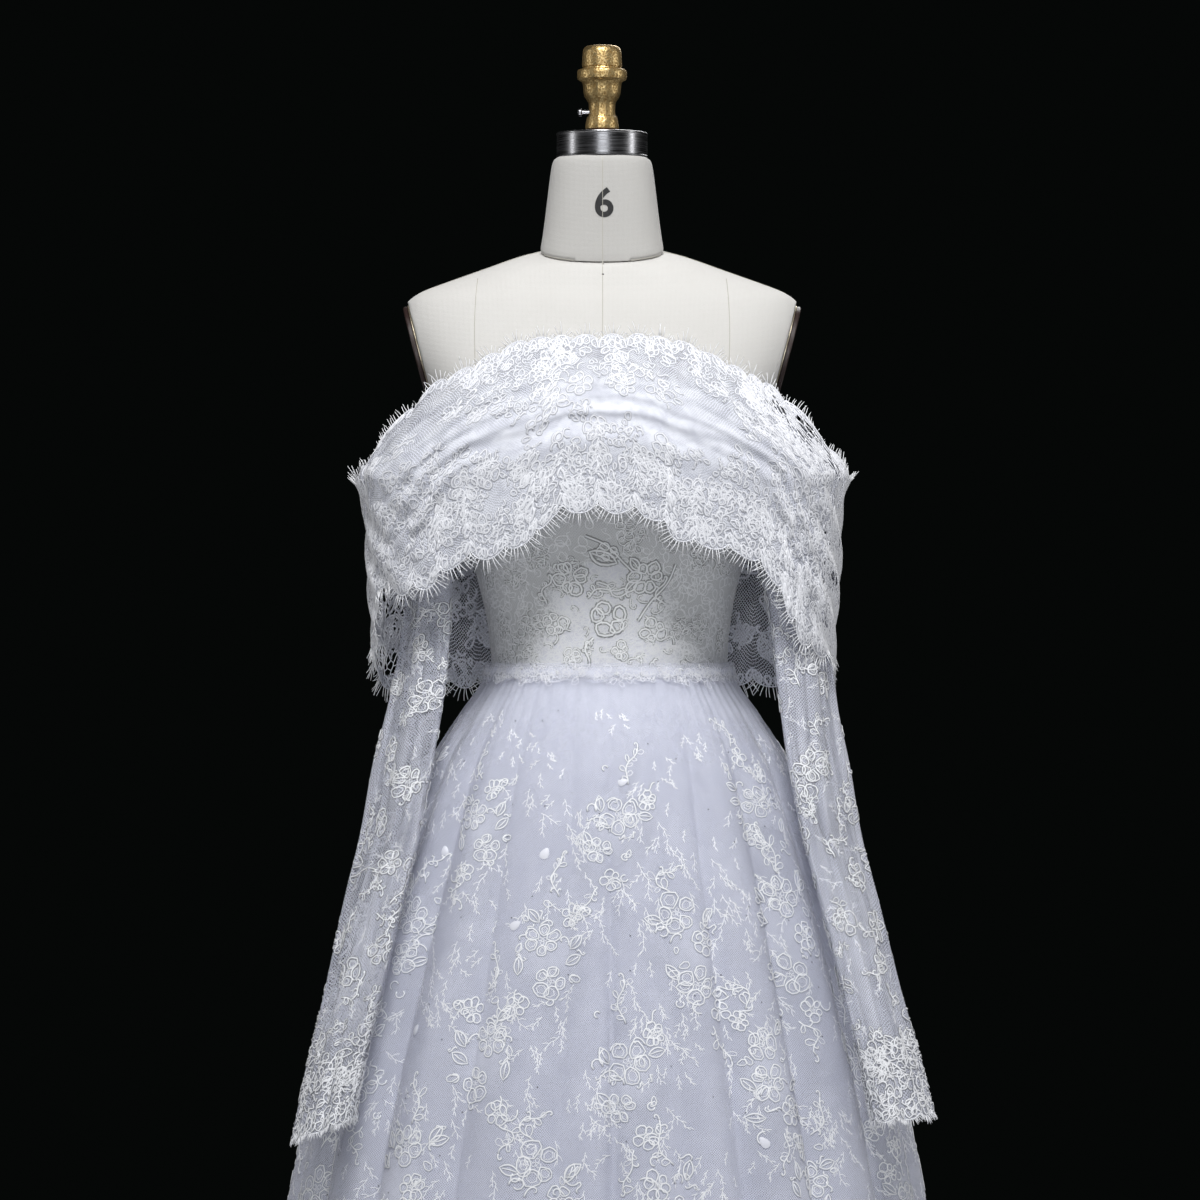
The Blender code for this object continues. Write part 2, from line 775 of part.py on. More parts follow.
def make_armhole_plates(group):
    for word, side in (("right", -1), ("left", 1)):
        rim_depth = PLATE_HALF_DEPTH + RIM_WIDTH
        rim_height = PLATE_HALF_HEIGHT + RIM_WIDTH
        start = SEAM_GAP
        oval_disc(
            "arm_rim_" + word, side, rim_depth, rim_height, start, RIM_THICKNESS, "brass", group
        )
        start += RIM_THICKNESS + SEAM_GAP
        oval_disc(
            "arm_plate_" + word,
            side,
            PLATE_HALF_DEPTH,
            PLATE_HALF_HEIGHT,
            start,
            PLATE_THICKNESS,
            "dark_plate",
            group,
        )


def make_finial(group, cutters):
    washer_top = FINIAL_PROFILE[-1][0] - SEAM_GAP
    washer_bottom = NECK_CAP_TOP + SEAM_GAP
    cylinder_piece(
        "finial_washer", WASHER_RADIUS, washer_bottom, washer_top, 24, 0, "fibre", group
    )
    finial = turned_piece("finial", FINIAL_PROFILE, 18, "gold", group)
    length = SCREW_HOLE_CUTTER_LENGTH
    hole = cylinder_piece("screw_hole", SCREW_HOLE_RADIUS, -length, 0, 16, 0, "gold", cutters)
    hole.rotation_euler = (0, math.radians(90), 0)
    hole.location = (SCREW_HOLE_END, 0, SCREW_HEIGHT)
    hole.hide_render = True
    hole.display_type = "WIRE"
    drill = finial.modifiers.new("Screw hole", "BOOLEAN")
    drill.object = hole
    drill.solver = "EXACT"


def make_thumb_screw(group):
    """Turned about its own axis, which lies along X; its origin is on that axis."""
    shank = SCREW_HEAD_START - SCREW_TIP
    end = shank - SCREW_HEAD_LENGTH
    chamfer = SCREW_HEAD_CHAMFER
    profile = (
        (0.0, 0.0),
        (0.0, SCREW_SHANK_RADIUS - SCREW_TIP_CHAMFER),
        (-SCREW_TIP_CHAMFER, SCREW_SHANK_RADIUS),
        (shank, SCREW_SHANK_RADIUS),
        (shank, SCREW_HEAD_RADIUS - chamfer),
        (shank - chamfer, SCREW_HEAD_RADIUS),
        (end + chamfer, SCREW_HEAD_RADIUS),
        (end, SCREW_HEAD_RADIUS - chamfer),
        (end, 0.0),
    )
    screw = turned_piece("finial_screw", profile, 12, "steel", group)
    screw.rotation_euler = (0, math.radians(90), 0)
    screw.location = (SCREW_TIP, 0, SCREW_HEIGHT)


def make_stand(group):
    turned_piece("stand_base", BASE_PROFILE, 32, "dark_iron", group)
    bottom = BASE_PROFILE[0][0] + SEAM_GAP
    top = BODY[0][0] - SEAM_GAP
    cylinder_piece("stand_pole", POLE_RADIUS, bottom, top, 20, 0, "steel", group)


def make_bodice(group):
    rows = len(BODICE_HEIGHTS)
    for name, first, last, columns in BODICE_PANELS:

        def place(column, row):
            angle = first + (last - first) * column / columns
            turn = abs((angle + 180) % 360 - 180)
            top = along(BODICE_TOP, turn, 1)
            height = BODICE_HEIGHTS[row] if row < rows else top
            return body_point(angle, height, BODICE_CLEARANCE)

        cloth_piece(name, columns, rows, place, BODICE_THICKNESS, "lace", group)


def make_waist_trim(group):
    def place(column, row):
        return waist_trim_point(360 * column / WAIST_TRIM_COLUMNS, row / 2)

    cloth_piece(
        "waist_trim",
        WAIST_TRIM_COLUMNS,
        2,
        place,
        WAIST_TRIM_THICKNESS,
        "lace",
        group,
        ring=True,
    )


def make_lining(group):
    span = 360 / GORE_COUNT
    for gore in range(GORE_COUNT):
        first = gore * span - span / 2

        def place(column, row):
            angle = first + span * column / GORE_COLUMNS
            return lining_point(angle, max(SKIRT_HEIGHTS[row], LINING[0][0]))

        rows = len(SKIRT_HEIGHTS) - 1
        name = "skirt_lining_gore_%d" % (gore + 1)
        cloth_piece(name, GORE_COLUMNS, rows, place, SATIN_THICKNESS, "satin", group)


def make_overskirt(group):
    for name, first, last in (
        ("overskirt_front", -OVERSKIRT_SEAM, OVERSKIRT_SEAM),
        ("overskirt_back", OVERSKIRT_SEAM, 360 - OVERSKIRT_SEAM),
    ):
        angles = overskirt_angles(first, last)

        def place(column, row):
            return overskirt_point(angles[column], SKIRT_HEIGHTS[row])

        rows = len(SKIRT_HEIGHTS) - 1
        cloth_piece(name, len(angles) - 1, rows, place, LACE_THICKNESS, "lace", group)


def open_net(bm, net, cells):
    """Cuts a hole inside each face of the grid that the net's rows name."""
    wanted = set()
    for row, first, last in net:
        wanted.update((column, row) for column in range(first, last + 1))
    faces = [face for face in bm.faces if cells[face.index] in wanted]
    bmesh.ops.inset_individual(bm, faces=faces, thickness=HOLE_RIM, use_even_offset=True)
    bmesh.ops.delete(bm, geom=faces, context="FACES")


def make_cape_panel(name, columns, rows, point, net, group):
    """Makes one panel and returns the way out of the cloth at each of its corners."""
    bm = bmesh.new()
    bmesh.ops.create_grid(bm, x_segments=columns, y_segments=rows, size=0.5)
    bm.faces.index_update()
    cells = {}
    for face in bm.faces:
        middle = face.calc_center_median()
        column = int((middle.x + 0.5) * columns)
        row = rows - 1 - int((middle.y + 0.5) * rows)
        cells[face.index] = (column, row)
    corners = {}
    for corner in bm.verts:
        column = round((corner.co.x + 0.5) * columns)
        row = rows - round((corner.co.y + 0.5) * rows)
        corner.co = seam_place(point, column, columns, row)
        corners[column, row] = corner
    bm.normal_update()
    open_net(bm, net, cells)
    bm.normal_update()
    normals = {place: corner.normal.copy() for place, corner in corners.items()}
    thing = add_object(name, to_mesh(name, bm), "lace", group)
    add_wall(thing, LACE_THICKNESS)
    return normals


def make_cape(group):
    last_front = len(CAPE_FOLDS) - 1
    last_back = len(CAPE_BACK_ROWS) - 1
    front = (cape_front_point, CAPE_FRONT_COLUMNS)
    back = (cape_back_point, CAPE_BACK_COLUMNS)
    point, columns = front
    normals = make_cape_panel("cape_front", columns, last_front, point, NET_FRONT, group)
    make_fringe("cape_front_fringe", front, normals, last_front, last_front - 1, group)
    make_fringe("cape_top_fringe", front, normals, 0, 1, group)
    point, columns = back
    normals = make_cape_panel("cape_back", columns, last_back, point, NET_BACK, group)
    make_fringe("cape_back_fringe", back, normals, last_back, last_back - 1, group)


def make_sleeves(group):
    half = SLEEVE_COLUMNS // 2
    rows = len(SLEEVE_LEFT) - 1
    for word, table in (("left", SLEEVE_LEFT), ("right", SLEEVE_RIGHT)):
        side = math.copysign(1, table[0][1])
        for part, first in (("upper", -90), ("under", 90)):

            def place(column, row):
                angle = first + 180 * column / half
                point = sleeve_point(table, row, side * angle)
                if row == 0:
                    point.z -= CUFF_SCALLOP * (column % 2)
                return point

            name = "sleeve_%s_%s" % (word, part)
            cloth_piece(name, half, rows, place, LACE_THICKNESS, "lace", group)


def make_fringe(name, cloth, normals, edge_row, next_row, group):
    """Eyelash fringe: a three-sided strip just outside the cloth's edge, a lash at each column."""
    point, columns = cloth

    def edge_place(station):
        """A place on the cloth's edge, the way up into the cloth and the way out of it."""
        low = min(int(station), columns - 1)
        share = station - low
        edge = point(low, edge_row).lerp(point(low + 1, edge_row), share)
        inner = point(low, next_row).lerp(point(low + 1, next_row), share)
        outward = normals[low, edge_row].lerp(normals[low + 1, edge_row], share)
        return edge, (inner - edge).normalized(), outward

    bm = bmesh.new()
    stations = [STRIP_END]
    for column in range(1, columns):
        stations += [column, column + LASH_ROOT_SHARE]
    stations.append(columns - STRIP_END)
    clear = LACE_THICKNESS + STRIP_GAP
    rings = []
    for station in stations:
        edge, inward, outward = edge_place(station)
        edge += outward * clear
        places = (edge + inward * STRIP_HEIGHT, edge, edge + outward * STRIP_DEPTH)
        rings.append([bm.verts.new(place) for place in places])
    for i, (near, far) in enumerate(zip(rings, rings[1:])):
        bm.faces.new((near[0], near[1], far[1], far[0]))
        bm.faces.new((near[2], near[0], far[0], far[2]))
        if i % 2 == 0:
            bm.faces.new((near[1], near[2], far[2], far[1]))
            continue
        edge, inward, outward = edge_place((stations[i] + stations[i + 1]) / 2)
        reach = outward * (clear + LASH_LENGTH * LASH_SPLAY) - inward * LASH_LENGTH
        tip = bm.verts.new(edge + reach)
        root = (near[1], near[2], far[2], far[1])
        for a, b in zip(root, root[1:] + root[:1]):
            bm.faces.new((a, b, tip))
    bm.faces.new(rings[0])
    bm.faces.new(rings[-1])
    bmesh.ops.recalc_face_normals(bm, faces=bm.faces)
    add_object(name, to_mesh(name, bm), "lace", group)


def main():
    clear_scene()
    group = make_collection(OBJECT_NAME)
    cutters = make_collection("cutters")
    make_torso(group)
    make_neck(group)
    make_armhole_plates(group)
    make_finial(group, cutters)
    make_thumb_screw(group)
    make_stand(group)
    make_bodice(group)
    make_waist_trim(group)
    make_lining(group)
    make_overskirt(group)
    make_cape(group)
    make_sleeves(group)


main()
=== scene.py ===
"""The finished look of a lace wedding dress and the dress form that carries it.

Metres, +Z up, the dress faces -Y. Angles round the figure are in degrees: 0 is the
centre front and 90 is the +X side, the wearer's left.
"""

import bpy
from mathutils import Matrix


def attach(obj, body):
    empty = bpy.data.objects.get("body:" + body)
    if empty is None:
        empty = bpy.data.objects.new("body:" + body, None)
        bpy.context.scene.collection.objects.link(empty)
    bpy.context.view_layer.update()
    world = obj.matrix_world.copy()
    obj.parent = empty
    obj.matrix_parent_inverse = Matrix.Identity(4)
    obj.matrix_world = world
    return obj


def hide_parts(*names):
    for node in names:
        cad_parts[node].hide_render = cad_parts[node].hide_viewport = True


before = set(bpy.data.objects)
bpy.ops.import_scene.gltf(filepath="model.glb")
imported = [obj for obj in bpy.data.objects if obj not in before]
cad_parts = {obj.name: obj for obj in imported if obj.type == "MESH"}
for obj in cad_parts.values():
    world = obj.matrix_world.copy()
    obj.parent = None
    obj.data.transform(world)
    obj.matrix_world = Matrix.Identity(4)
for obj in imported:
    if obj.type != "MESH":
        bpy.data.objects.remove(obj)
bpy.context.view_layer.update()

import math

import bmesh
import bpy
import numpy as np
from mathutils import Matrix, Vector
from mathutils.bvhtree import BVHTree

GOWN = "dress_and_form"
SCREW = "thumb_screw"

# ---------------------------------------------------------------- the forms of the cloth

# Sideways hang of the figure: height, x
SWAY = (
    (0.00, 0.004),
    (0.60, 0.005),
    (1.07, 0.007),
    (1.20, 0.005),
    (1.35, 0.001),
    (1.48, 0.000),
)

# Torso under the bodice: height, half width, front depth, back depth
BODY = (
    (1.015, 0.124, 0.097, 0.094),
    (1.045, 0.114, 0.091, 0.085),
    (1.072, 0.110, 0.089, 0.082),
    (1.100, 0.111, 0.090, 0.084),
    (1.130, 0.115, 0.094, 0.088),
    (1.165, 0.123, 0.100, 0.093),
    (1.200, 0.131, 0.109, 0.098),
    (1.230, 0.137, 0.119, 0.101),
    (1.260, 0.143, 0.130, 0.104),
    (1.285, 0.147, 0.136, 0.107),
    (1.305, 0.152, 0.135, 0.109),
    (1.330, 0.164, 0.127, 0.112),
    (1.355, 0.177, 0.116, 0.114),
    (1.385, 0.187, 0.101, 0.113),
)
BUST_DIP = 0.009
BUST_HEIGHT = 1.290
BUST_DIP_HALF_ANGLE = 15
BUST_DIP_HALF_HEIGHT = 0.05
BODY_ROUNDNESS = 0.8

# Top edge of the bodice: angle from the front, height
BODICE_TOP = ((0, 1.344), (22.5, 1.350), (56.25, 1.338), (90, 1.322), (180, 1.314))
BODICE_BOTTOM = 1.068
BODICE_OUT = 0.0042

# Satin lining: height, half width, front depth, back depth, roundness of the plan
WAIST_SEAM = 1.066
LINING = (
    (0.014, 0.362, 0.352, 0.372, 1.00),
    (0.300, 0.318, 0.308, 0.325, 1.00),
    (0.613, 0.257, 0.246, 0.262, 1.00),
    (0.780, 0.215, 0.203, 0.214, 1.00),
    (0.851, 0.198, 0.183, 0.193, 1.00),
    (0.913, 0.180, 0.164, 0.172, 0.97),
    (0.975, 0.157, 0.142, 0.148, 0.92),
    (1.011, 0.137, 0.124, 0.127, 0.88),
    (1.044, 0.120, 0.106, 0.104, 0.82),
    (WAIST_SEAM, 0.1140, 0.0935, 0.0865, 0.80),
)

# Lace overskirt at the crests of its folds: the same columns, then depth of the folds
OVERSKIRT = (
    (0.012, 0.428, 0.415, 0.440, 1.00, 0.030),
    (0.300, 0.352, 0.345, 0.362, 1.00, 0.026),
    (0.613, 0.299, 0.290, 0.302, 1.00, 0.019),
    (0.800, 0.247, 0.230, 0.244, 1.00, 0.0135),
    (0.913, 0.206, 0.190, 0.200, 0.98, 0.0090),
    (0.984, 0.176, 0.160, 0.166, 0.93, 0.0060),
    (1.022, 0.152, 0.138, 0.140, 0.88, 0.0034),
    (1.044, 0.137, 0.121, 0.119, 0.84, 0.0020),
    (WAIST_SEAM, 0.1195, 0.0990, 0.0920, 0.80, 0.0012),
)
SKIRT_HEM = 0.012

# Grooves between the overskirt's folds: angle, share of the full depth
GROOVES = (
    (-80, 0.8),
    (-64, 0.9),
    (-47, 1.0),
    (-29, 0.9),
    (-10, 0.6),
    (0, 0.8),
    (13, 0.5),
    (25, 1.0),
    (41.5, 1.0),
    (62, 1.0),
    (80, 0.8),
    (97, 0.9),
    (114, 1.0),
    (131, 0.8),
    (149, 1.0),
    (165, 0.7),
    (181, 1.0),
    (198, 0.8),
    (215, 1.0),
    (231, 0.9),
    (247, 1.0),
    (263, 0.9),
    (280, 0.8),
)
FOLD_SHARPNESS = 0.8
GATHER_DEPTH = 0.0005
GATHERS = 74

# Waist trim: height, half width, front depth, back depth
WAIST_TRIM = (
    (1.046, 0.1385, 0.1230, 0.1210),
    (WAIST_SEAM, 0.1222, 0.1016, 0.0946),
    (1.082, 0.1190, 0.0985, 0.0915),
)
WAIST_TRIM_OUT = 0.0014

# Cape, seen from above: height, half width, front depth, back depth
CAPE_PLAN = (
    (1.040, 0.222, 0.150, 0.134),
    (1.100, 0.221, 0.151, 0.132),
    (1.167, 0.226, 0.151, 0.128),
    (1.210, 0.228, 0.150, 0.125),
    (1.245, 0.234, 0.149, 0.123),
    (1.262, 0.240, 0.148, 0.122),
    (1.290, 0.226, 0.147, 0.121),
    (1.320, 0.206, 0.141, 0.122),
    (1.345, 0.191, 0.131, 0.122),
    (1.370, 0.181, 0.118, 0.121),
    (1.400, 0.174, 0.101, 0.118),
)
CAPE_ROUNDNESS = 0.77
CAPE_SCALLOP = 0.0135
CAPE_TOP_SCALLOP = 0.0080
SHOULDER_SCALLOP = 0.0040
SHOULDER_FLARE = 0.0130
LASH_LENGTH = 0.0128
LASH_STEP = 0.0031
FRONT_SCALLOPS = 22
BACK_SCALLOPS = 20
CAPE_SEAM_FADE = 22
CAPE_BACK_SWELL = 0.006

# Cape edges: angle, top height, bottom height
CAPE_FRONT_EDGES = (
    (-90, 1.254, 1.098),
    (-76, 1.262, 1.104),
    (-70, 1.275, 1.146),
    (-66, 1.300, 1.160),
    (-61, 1.326, 1.163),
    (-56, 1.342, 1.160),
    (-51, 1.354, 1.158),
    (-40, 1.365, 1.166),
    (-30, 1.380, 1.186),
    (-20, 1.394, 1.190),
    (-11, 1.398, 1.207),
    (-7, 1.398, 1.228),
    (0, 1.397, 1.236),
    (8, 1.398, 1.227),
    (12, 1.397, 1.208),
    (20, 1.393, 1.198),
    (30, 1.380, 1.190),
    (40, 1.366, 1.168),
    (46, 1.358, 1.140),
    (52, 1.350, 1.115),
    (58, 1.340, 1.104),
    (66, 1.310, 1.096),
    (72, 1.290, 1.094),
    (78, 1.272, 1.092),
    (90, 1.256, 1.088),
)
CAPE_BACK_EDGES = (
    (90, 1.256, 1.088),
    (102, 1.272, 1.066),
    (114, 1.315, 1.060),
    (130, 1.352, 1.062),
    (150, 1.366, 1.066),
    (180, 1.368, 1.068),
    (210, 1.366, 1.066),
    (230, 1.352, 1.062),
    (246, 1.315, 1.064),
    (258, 1.272, 1.074),
    (270, 1.254, 1.098),
)

# Drape of the front cape: share of the way down, how far it stands out
CAPE_FOLDS = (
    (0.00, 0.0000),
    (0.14, 0.0015),
    (0.28, 0.0035),
    (0.40, 0.0060),
    (0.50, 0.0046),
    (0.59, 0.0062),
    (0.68, 0.0048),
    (0.82, 0.0050),
    (1.00, 0.0040),
)

# Swags of the front cape: first and last angle, share down where they would cross the
# middle, how far they fall towards the sides, height
SWAGS = (
    (-66, 12, 0.29, 0.32, 0.0030),
    (-62, 2, 0.37, 0.40, 0.0030),
    (-68, -8, 0.20, 0.26, 0.0024),
    (-58, -16, 0.47, 0.46, 0.0028),
    (-64, -24, 0.12, 0.18, 0.0020),
    (-70, -30, 0.33, 0.42, 0.0026),
    (-64, -34, 0.55, 0.30, 0.0022),
    (-10, 70, 0.27, 0.30, 0.0030),
    (-4, 66, 0.35, 0.38, 0.0030),
    (6, 72, 0.18, 0.24, 0.0024),
    (14, 62, 0.45, 0.44, 0.0028),
    (30, 72, 0.31, 0.44, 0.0026),
    (36, 66, 0.54, 0.28, 0.0022),
    (-30, 34, 0.44, 0.10, 0.0024),
    (-24, 28, 0.335, 0.06, 0.0018),
    (-36, 20, 0.22, 0.12, 0.0016),
)
SWAG_ABOVE, SWAG_BELOW = 0.036, 0.021

# Open net of the cape: first and last angle, first and last share of the way down.
# The first, at the left shoulder, has no corded patches.
NET_ZONES = (
    (54, 96, 0.03, 0.26),
    (-112, -68, 0.22, 0.97),
    (68, 112, 0.20, 0.97),
    (236, 258, 0.58, 0.95),
)

# Sleeves, cuff to top: centre height, centre x, centre y, half of the long way,
# half of the short way, turn of the long way from front to back, drop of the outer side
SLEEVE_LEFT = (
    (0.6620, 0.2810, -0.1840, 0.042, 0.0190, 37, -0.05),
    (0.7200, 0.2670, -0.1690, 0.042, 0.0180, 36, 0.00),
    (0.7800, 0.2515, -0.1520, 0.043, 0.0185, 34, 0.10),
    (0.8570, 0.2325, -0.1290, 0.045, 0.0180, 32, 0.10),
    (0.9200, 0.2165, -0.1080, 0.047, 0.0180, 30, 0.10),
    (0.9870, 0.2055, -0.0880, 0.049, 0.0200, 28, 0.10),
    (1.0440, 0.1965, -0.0660, 0.050, 0.0220, 22, 0.10),
    (1.1050, 0.1890, -0.0480, 0.052, 0.0230, 18, 0.10),
    (1.1670, 0.1790, -0.0330, 0.053, 0.0220, 14, 0.20),
    (1.2200, 0.1800, -0.0180, 0.055, 0.0230, 10, 0.45),
    (1.2600, 0.1900, -0.0080, 0.057, 0.0245, 5, 0.80),
    (1.2930, 0.1970, -0.0020, 0.058, 0.0250, 0, 1.10),
)
SLEEVE_RIGHT = (
    (0.6520, -0.2605, -0.1850, 0.042, 0.0180, 37, 0.42),
    (0.7200, -0.2462, -0.1685, 0.042, 0.0175, 36, 0.30),
    (0.7800, -0.2320, -0.1520, 0.043, 0.0180, 34, 0.20),
    (0.8570, -0.2150, -0.1290, 0.045, 0.0180, 32, 0.10),
    (0.9200, -0.2000, -0.1080, 0.047, 0.0180, 30, 0.10),
    (0.9870, -0.1890, -0.0880, 0.048, 0.0190, 28, 0.10),
    (1.0440, -0.1780, -0.0660, 0.048, 0.0190, 24, 0.10),
    (1.1050, -0.1690, -0.0480, 0.048, 0.0180, 19, 0.10),
    (1.1670, -0.1660, -0.0330, 0.050, 0.0180, 14, 0.20),
    (1.2200, -0.1720, -0.0180, 0.054, 0.0210, 10, 0.45),
    (1.2600, -0.1850, -0.0080, 0.057, 0.0240, 5, 0.80),
    (1.2930, -0.1940, -0.0020, 0.058, 0.0250, 0, 1.10),
)
SLEEVE_FOLD_COUNT = 5
SLEEVE_FOLD_DEPTH = 0.0022
SLEEVE_FOLD_TWIST = 9
SLEEVE_FADE_ROWS = 4
CUFF_SCALLOPS = 8
CUFF_SCALLOP = 0.005
SLEEVE_COVER = {"left": 0.20, "right": 0.02}


def along(table, place, column):
    """The smooth values of a column at places between the rows of a table."""
    rows = np.asarray(table, float)
    x, y = rows[:, 0], rows[:, column]
    last = len(x) - 1
    after = np.minimum(np.arange(last + 1) + 1, last)
    before = np.maximum(np.arange(last + 1) - 1, 0)
    slopes = (y[after] - y[before]) / (x[after] - x[before])
    place = np.clip(place, x[0], x[-1])
    low = np.clip(np.searchsorted(x, place, side="right") - 1, 0, last - 1)
    span = x[low + 1] - x[low]
    t = (place - x[low]) / span
    rise = y[low + 1] - y[low]
    start = slopes[low] * span
    end = slopes[low + 1] * span
    curve = (start + end - 2 * rise) * t + (3 * rise - 2 * start - end)
    return y[low] + start * t + curve * t * t


def straight(table, place, column):
    """The values of a column at places, straight from row to row."""
    rows = np.asarray(table, float)
    return np.interp(place, rows[:, 0], rows[:, column])


def bell(value, centre, width):
    return np.exp(-(((value - centre) / width) ** 2))


def unit(vectors):
    length = np.linalg.norm(vectors, axis=-1, keepdims=True)
    return vectors / np.maximum(length, 1e-12)


def oval(angle, half_width, front, back, roundness):
    """Plan points on an oval with its own front and back depth."""
    side = np.sin(np.radians(angle))
    ahead = np.cos(np.radians(angle))
    depth = np.where(ahead > 0, front, back)
    x = half_width * np.sign(side) * np.abs(side) ** roundness
    y = -depth * np.sign(ahead) * np.abs(ahead) ** roundness
    return x, y


def from_front(angle):
    """The angle between -180 and 180."""
    return (angle + 180) % 360 - 180


def bodice_points(angle, share):
    """share runs from 0 at the waist to 1 at the top edge."""
    turn = from_front(angle)
    top = along(BODICE_TOP, np.abs(turn), 1)
    height = BODICE_BOTTOM + (top - BODICE_BOTTOM) * share
    dip = BUST_DIP * bell(turn, 0, BUST_DIP_HALF_ANGLE)
    dip = dip * bell(height, BUST_HEIGHT, BUST_DIP_HALF_HEIGHT)
    half_width, front, back = (along(BODY, height, c) + BODICE_OUT for c in (1, 2, 3))
    x, y = oval(angle, half_width, front - dip, back, BODY_ROUNDNESS)
    return np.stack((x + along(SWAY, height, 1), y, height), axis=-1)


def lining_points(angle, height):
    half_width, front, back, roundness = (along(LINING, height, c) for c in (1, 2, 3, 4))
    x, y = oval(angle, half_width, front, back, roundness)
    return np.stack((x + along(SWAY, height, 1), y, height), axis=-1)


def fold_places(angle):
    """Where angles lie in their folds, from 0 at one groove to 1 at the next, and the depth."""
    grooves = np.asarray(GROOVES, float)
    turn = (angle - grooves[0, 0]) % 360 + grooves[0, 0]
    low = np.clip(np.searchsorted(grooves[:, 0], turn, side="right") - 1, 0, len(grooves) - 2)
    span = grooves[low + 1, 0] - grooves[low, 0]
    phase = (turn - grooves[low, 0]) / span
    depth = grooves[low, 1] + (grooves[low + 1, 1] - grooves[low, 1]) * phase
    return phase, depth


def overskirt_points(angle, height):
    half_width, front, back, roundness, depth = (
        along(OVERSKIRT, height, c) for c in (1, 2, 3, 4, 5)
    )
    sway = 1.3 * np.sin(height * 7 + np.radians(angle) * 3) * bell(height, 0.45, 0.40)
    phase, share = fold_places(angle + sway)
    groove = depth * share * (1 - np.sin(np.pi * phase) ** FOLD_SHARPNESS)
    gather = GATHER_DEPTH * bell(height, WAIST_SEAM - 0.012, 0.050)
    gather = gather * (np.cos(np.radians(angle) * GATHERS + 2 * np.sin(np.radians(angle) * 9)) - 1)
    groove = groove - gather
    x, y = oval(angle, half_width - groove, front - groove, back - groove, roundness)
    return np.stack((x + along(SWAY, height, 1), y, height), axis=-1)


def scallops(u, first, count):
    """0 at the notches between scallops and 1 at their middles."""
    return np.abs(np.sin(np.pi * count * (u - first) / 180)) ** 0.6


def even_angles(table, first):
    """Angles an even length of the cape's lower edge apart, over half of the cape."""
    angle = np.linspace(first, first + 180, 721)
    height = along(table, angle, 2)
    half_width, front, back = (along(CAPE_PLAN, height, c) for c in (1, 2, 3))
    x, y = oval(angle, half_width, front, back, CAPE_ROUNDNESS)
    steps = np.linalg.norm(np.diff(np.stack((x, y, height)), axis=1), axis=0)
    run = np.concatenate(([0], np.cumsum(steps)))
    return np.interp(np.linspace(0, run[-1], 361), run, angle)


EVEN_ANGLES = np.concatenate((even_angles(CAPE_FRONT_EDGES, -90), even_angles(CAPE_BACK_EDGES, 90)[1:]))
EVEN_U = np.linspace(-90, 270, len(EVEN_ANGLES))


def swag_height(angle, down):
    """The swags of the cape: each rises softly and falls away sharply below."""
    total = np.zeros_like(angle)
    for first, last, middle, fall, height in SWAGS:
        off = down - middle - fall * (angle / 60) ** 2
        width = np.where(off < 0, SWAG_ABOVE, SWAG_BELOW)
        inside = np.clip((angle - first) / (last - first), 0, 1)
        total += height * bell(off, 0, width) * np.sin(np.pi * inside) ** 0.6
    return total


def cape_points(u, down):
    """u runs evenly along the lower edge, down from 0 at the top edge to 1 at the bottom edge."""
    angle = np.interp((u + 90) % 360 - 90, EVEN_U, EVEN_ANGLES)
    turn = from_front(angle)
    shoulder = bell(np.abs(turn), 68, 12)
    back_turn = angle % 360
    in_front = np.abs(turn) <= 90
    top = np.where(
        in_front, along(CAPE_FRONT_EDGES, turn, 1), along(CAPE_BACK_EDGES, back_turn, 1)
    )
    bottom = np.where(
        in_front, along(CAPE_FRONT_EDGES, turn, 2), along(CAPE_BACK_EDGES, back_turn, 2)
    )
    wave = np.where(in_front, scallops(u, -90, FRONT_SCALLOPS), scallops(u, 90, BACK_SCALLOPS))
    wave = wave * (0.8 + 0.2 * np.sin(np.radians(u) * 7 + 1))
    top = top + (CAPE_TOP_SCALLOP + SHOULDER_SCALLOP * shoulder) * (wave - 1.2 + 0.6 * shoulder)
    bottom = bottom - CAPE_SCALLOP * wave
    height = top + (bottom - top) * down
    fade = 1 - bell(np.abs(turn), 90, CAPE_SEAM_FADE)
    front_out = (along(CAPE_FOLDS, down, 1) + swag_height(turn, down)) * fade
    ripple = np.cos(np.radians(8 * (back_turn - 180))) ** 2
    back_out = CAPE_BACK_SWELL * down * ripple * (1 - bell(np.abs(back_turn - 180), 90, CAPE_SEAM_FADE))
    out = np.where(in_front, front_out, back_out)
    out = out + SHOULDER_FLARE * shoulder * (wave - 0.5) * np.clip(1 - 5 * down, 0, 1)
    side = bell(np.abs(turn), 90, 40) * np.clip(3 * down, 0, 1)
    out = out + side * (0.0022 * np.sin(height * 150 + 0.3 * turn) + np.where(turn > 0, 0.0030, 0))
    half_width, front, back = (along(CAPE_PLAN, height, c) + out for c in (1, 2, 3))
    x, y = oval(angle, half_width, front, back, CAPE_ROUNDNESS)
    return np.stack((x, y, height), axis=-1)


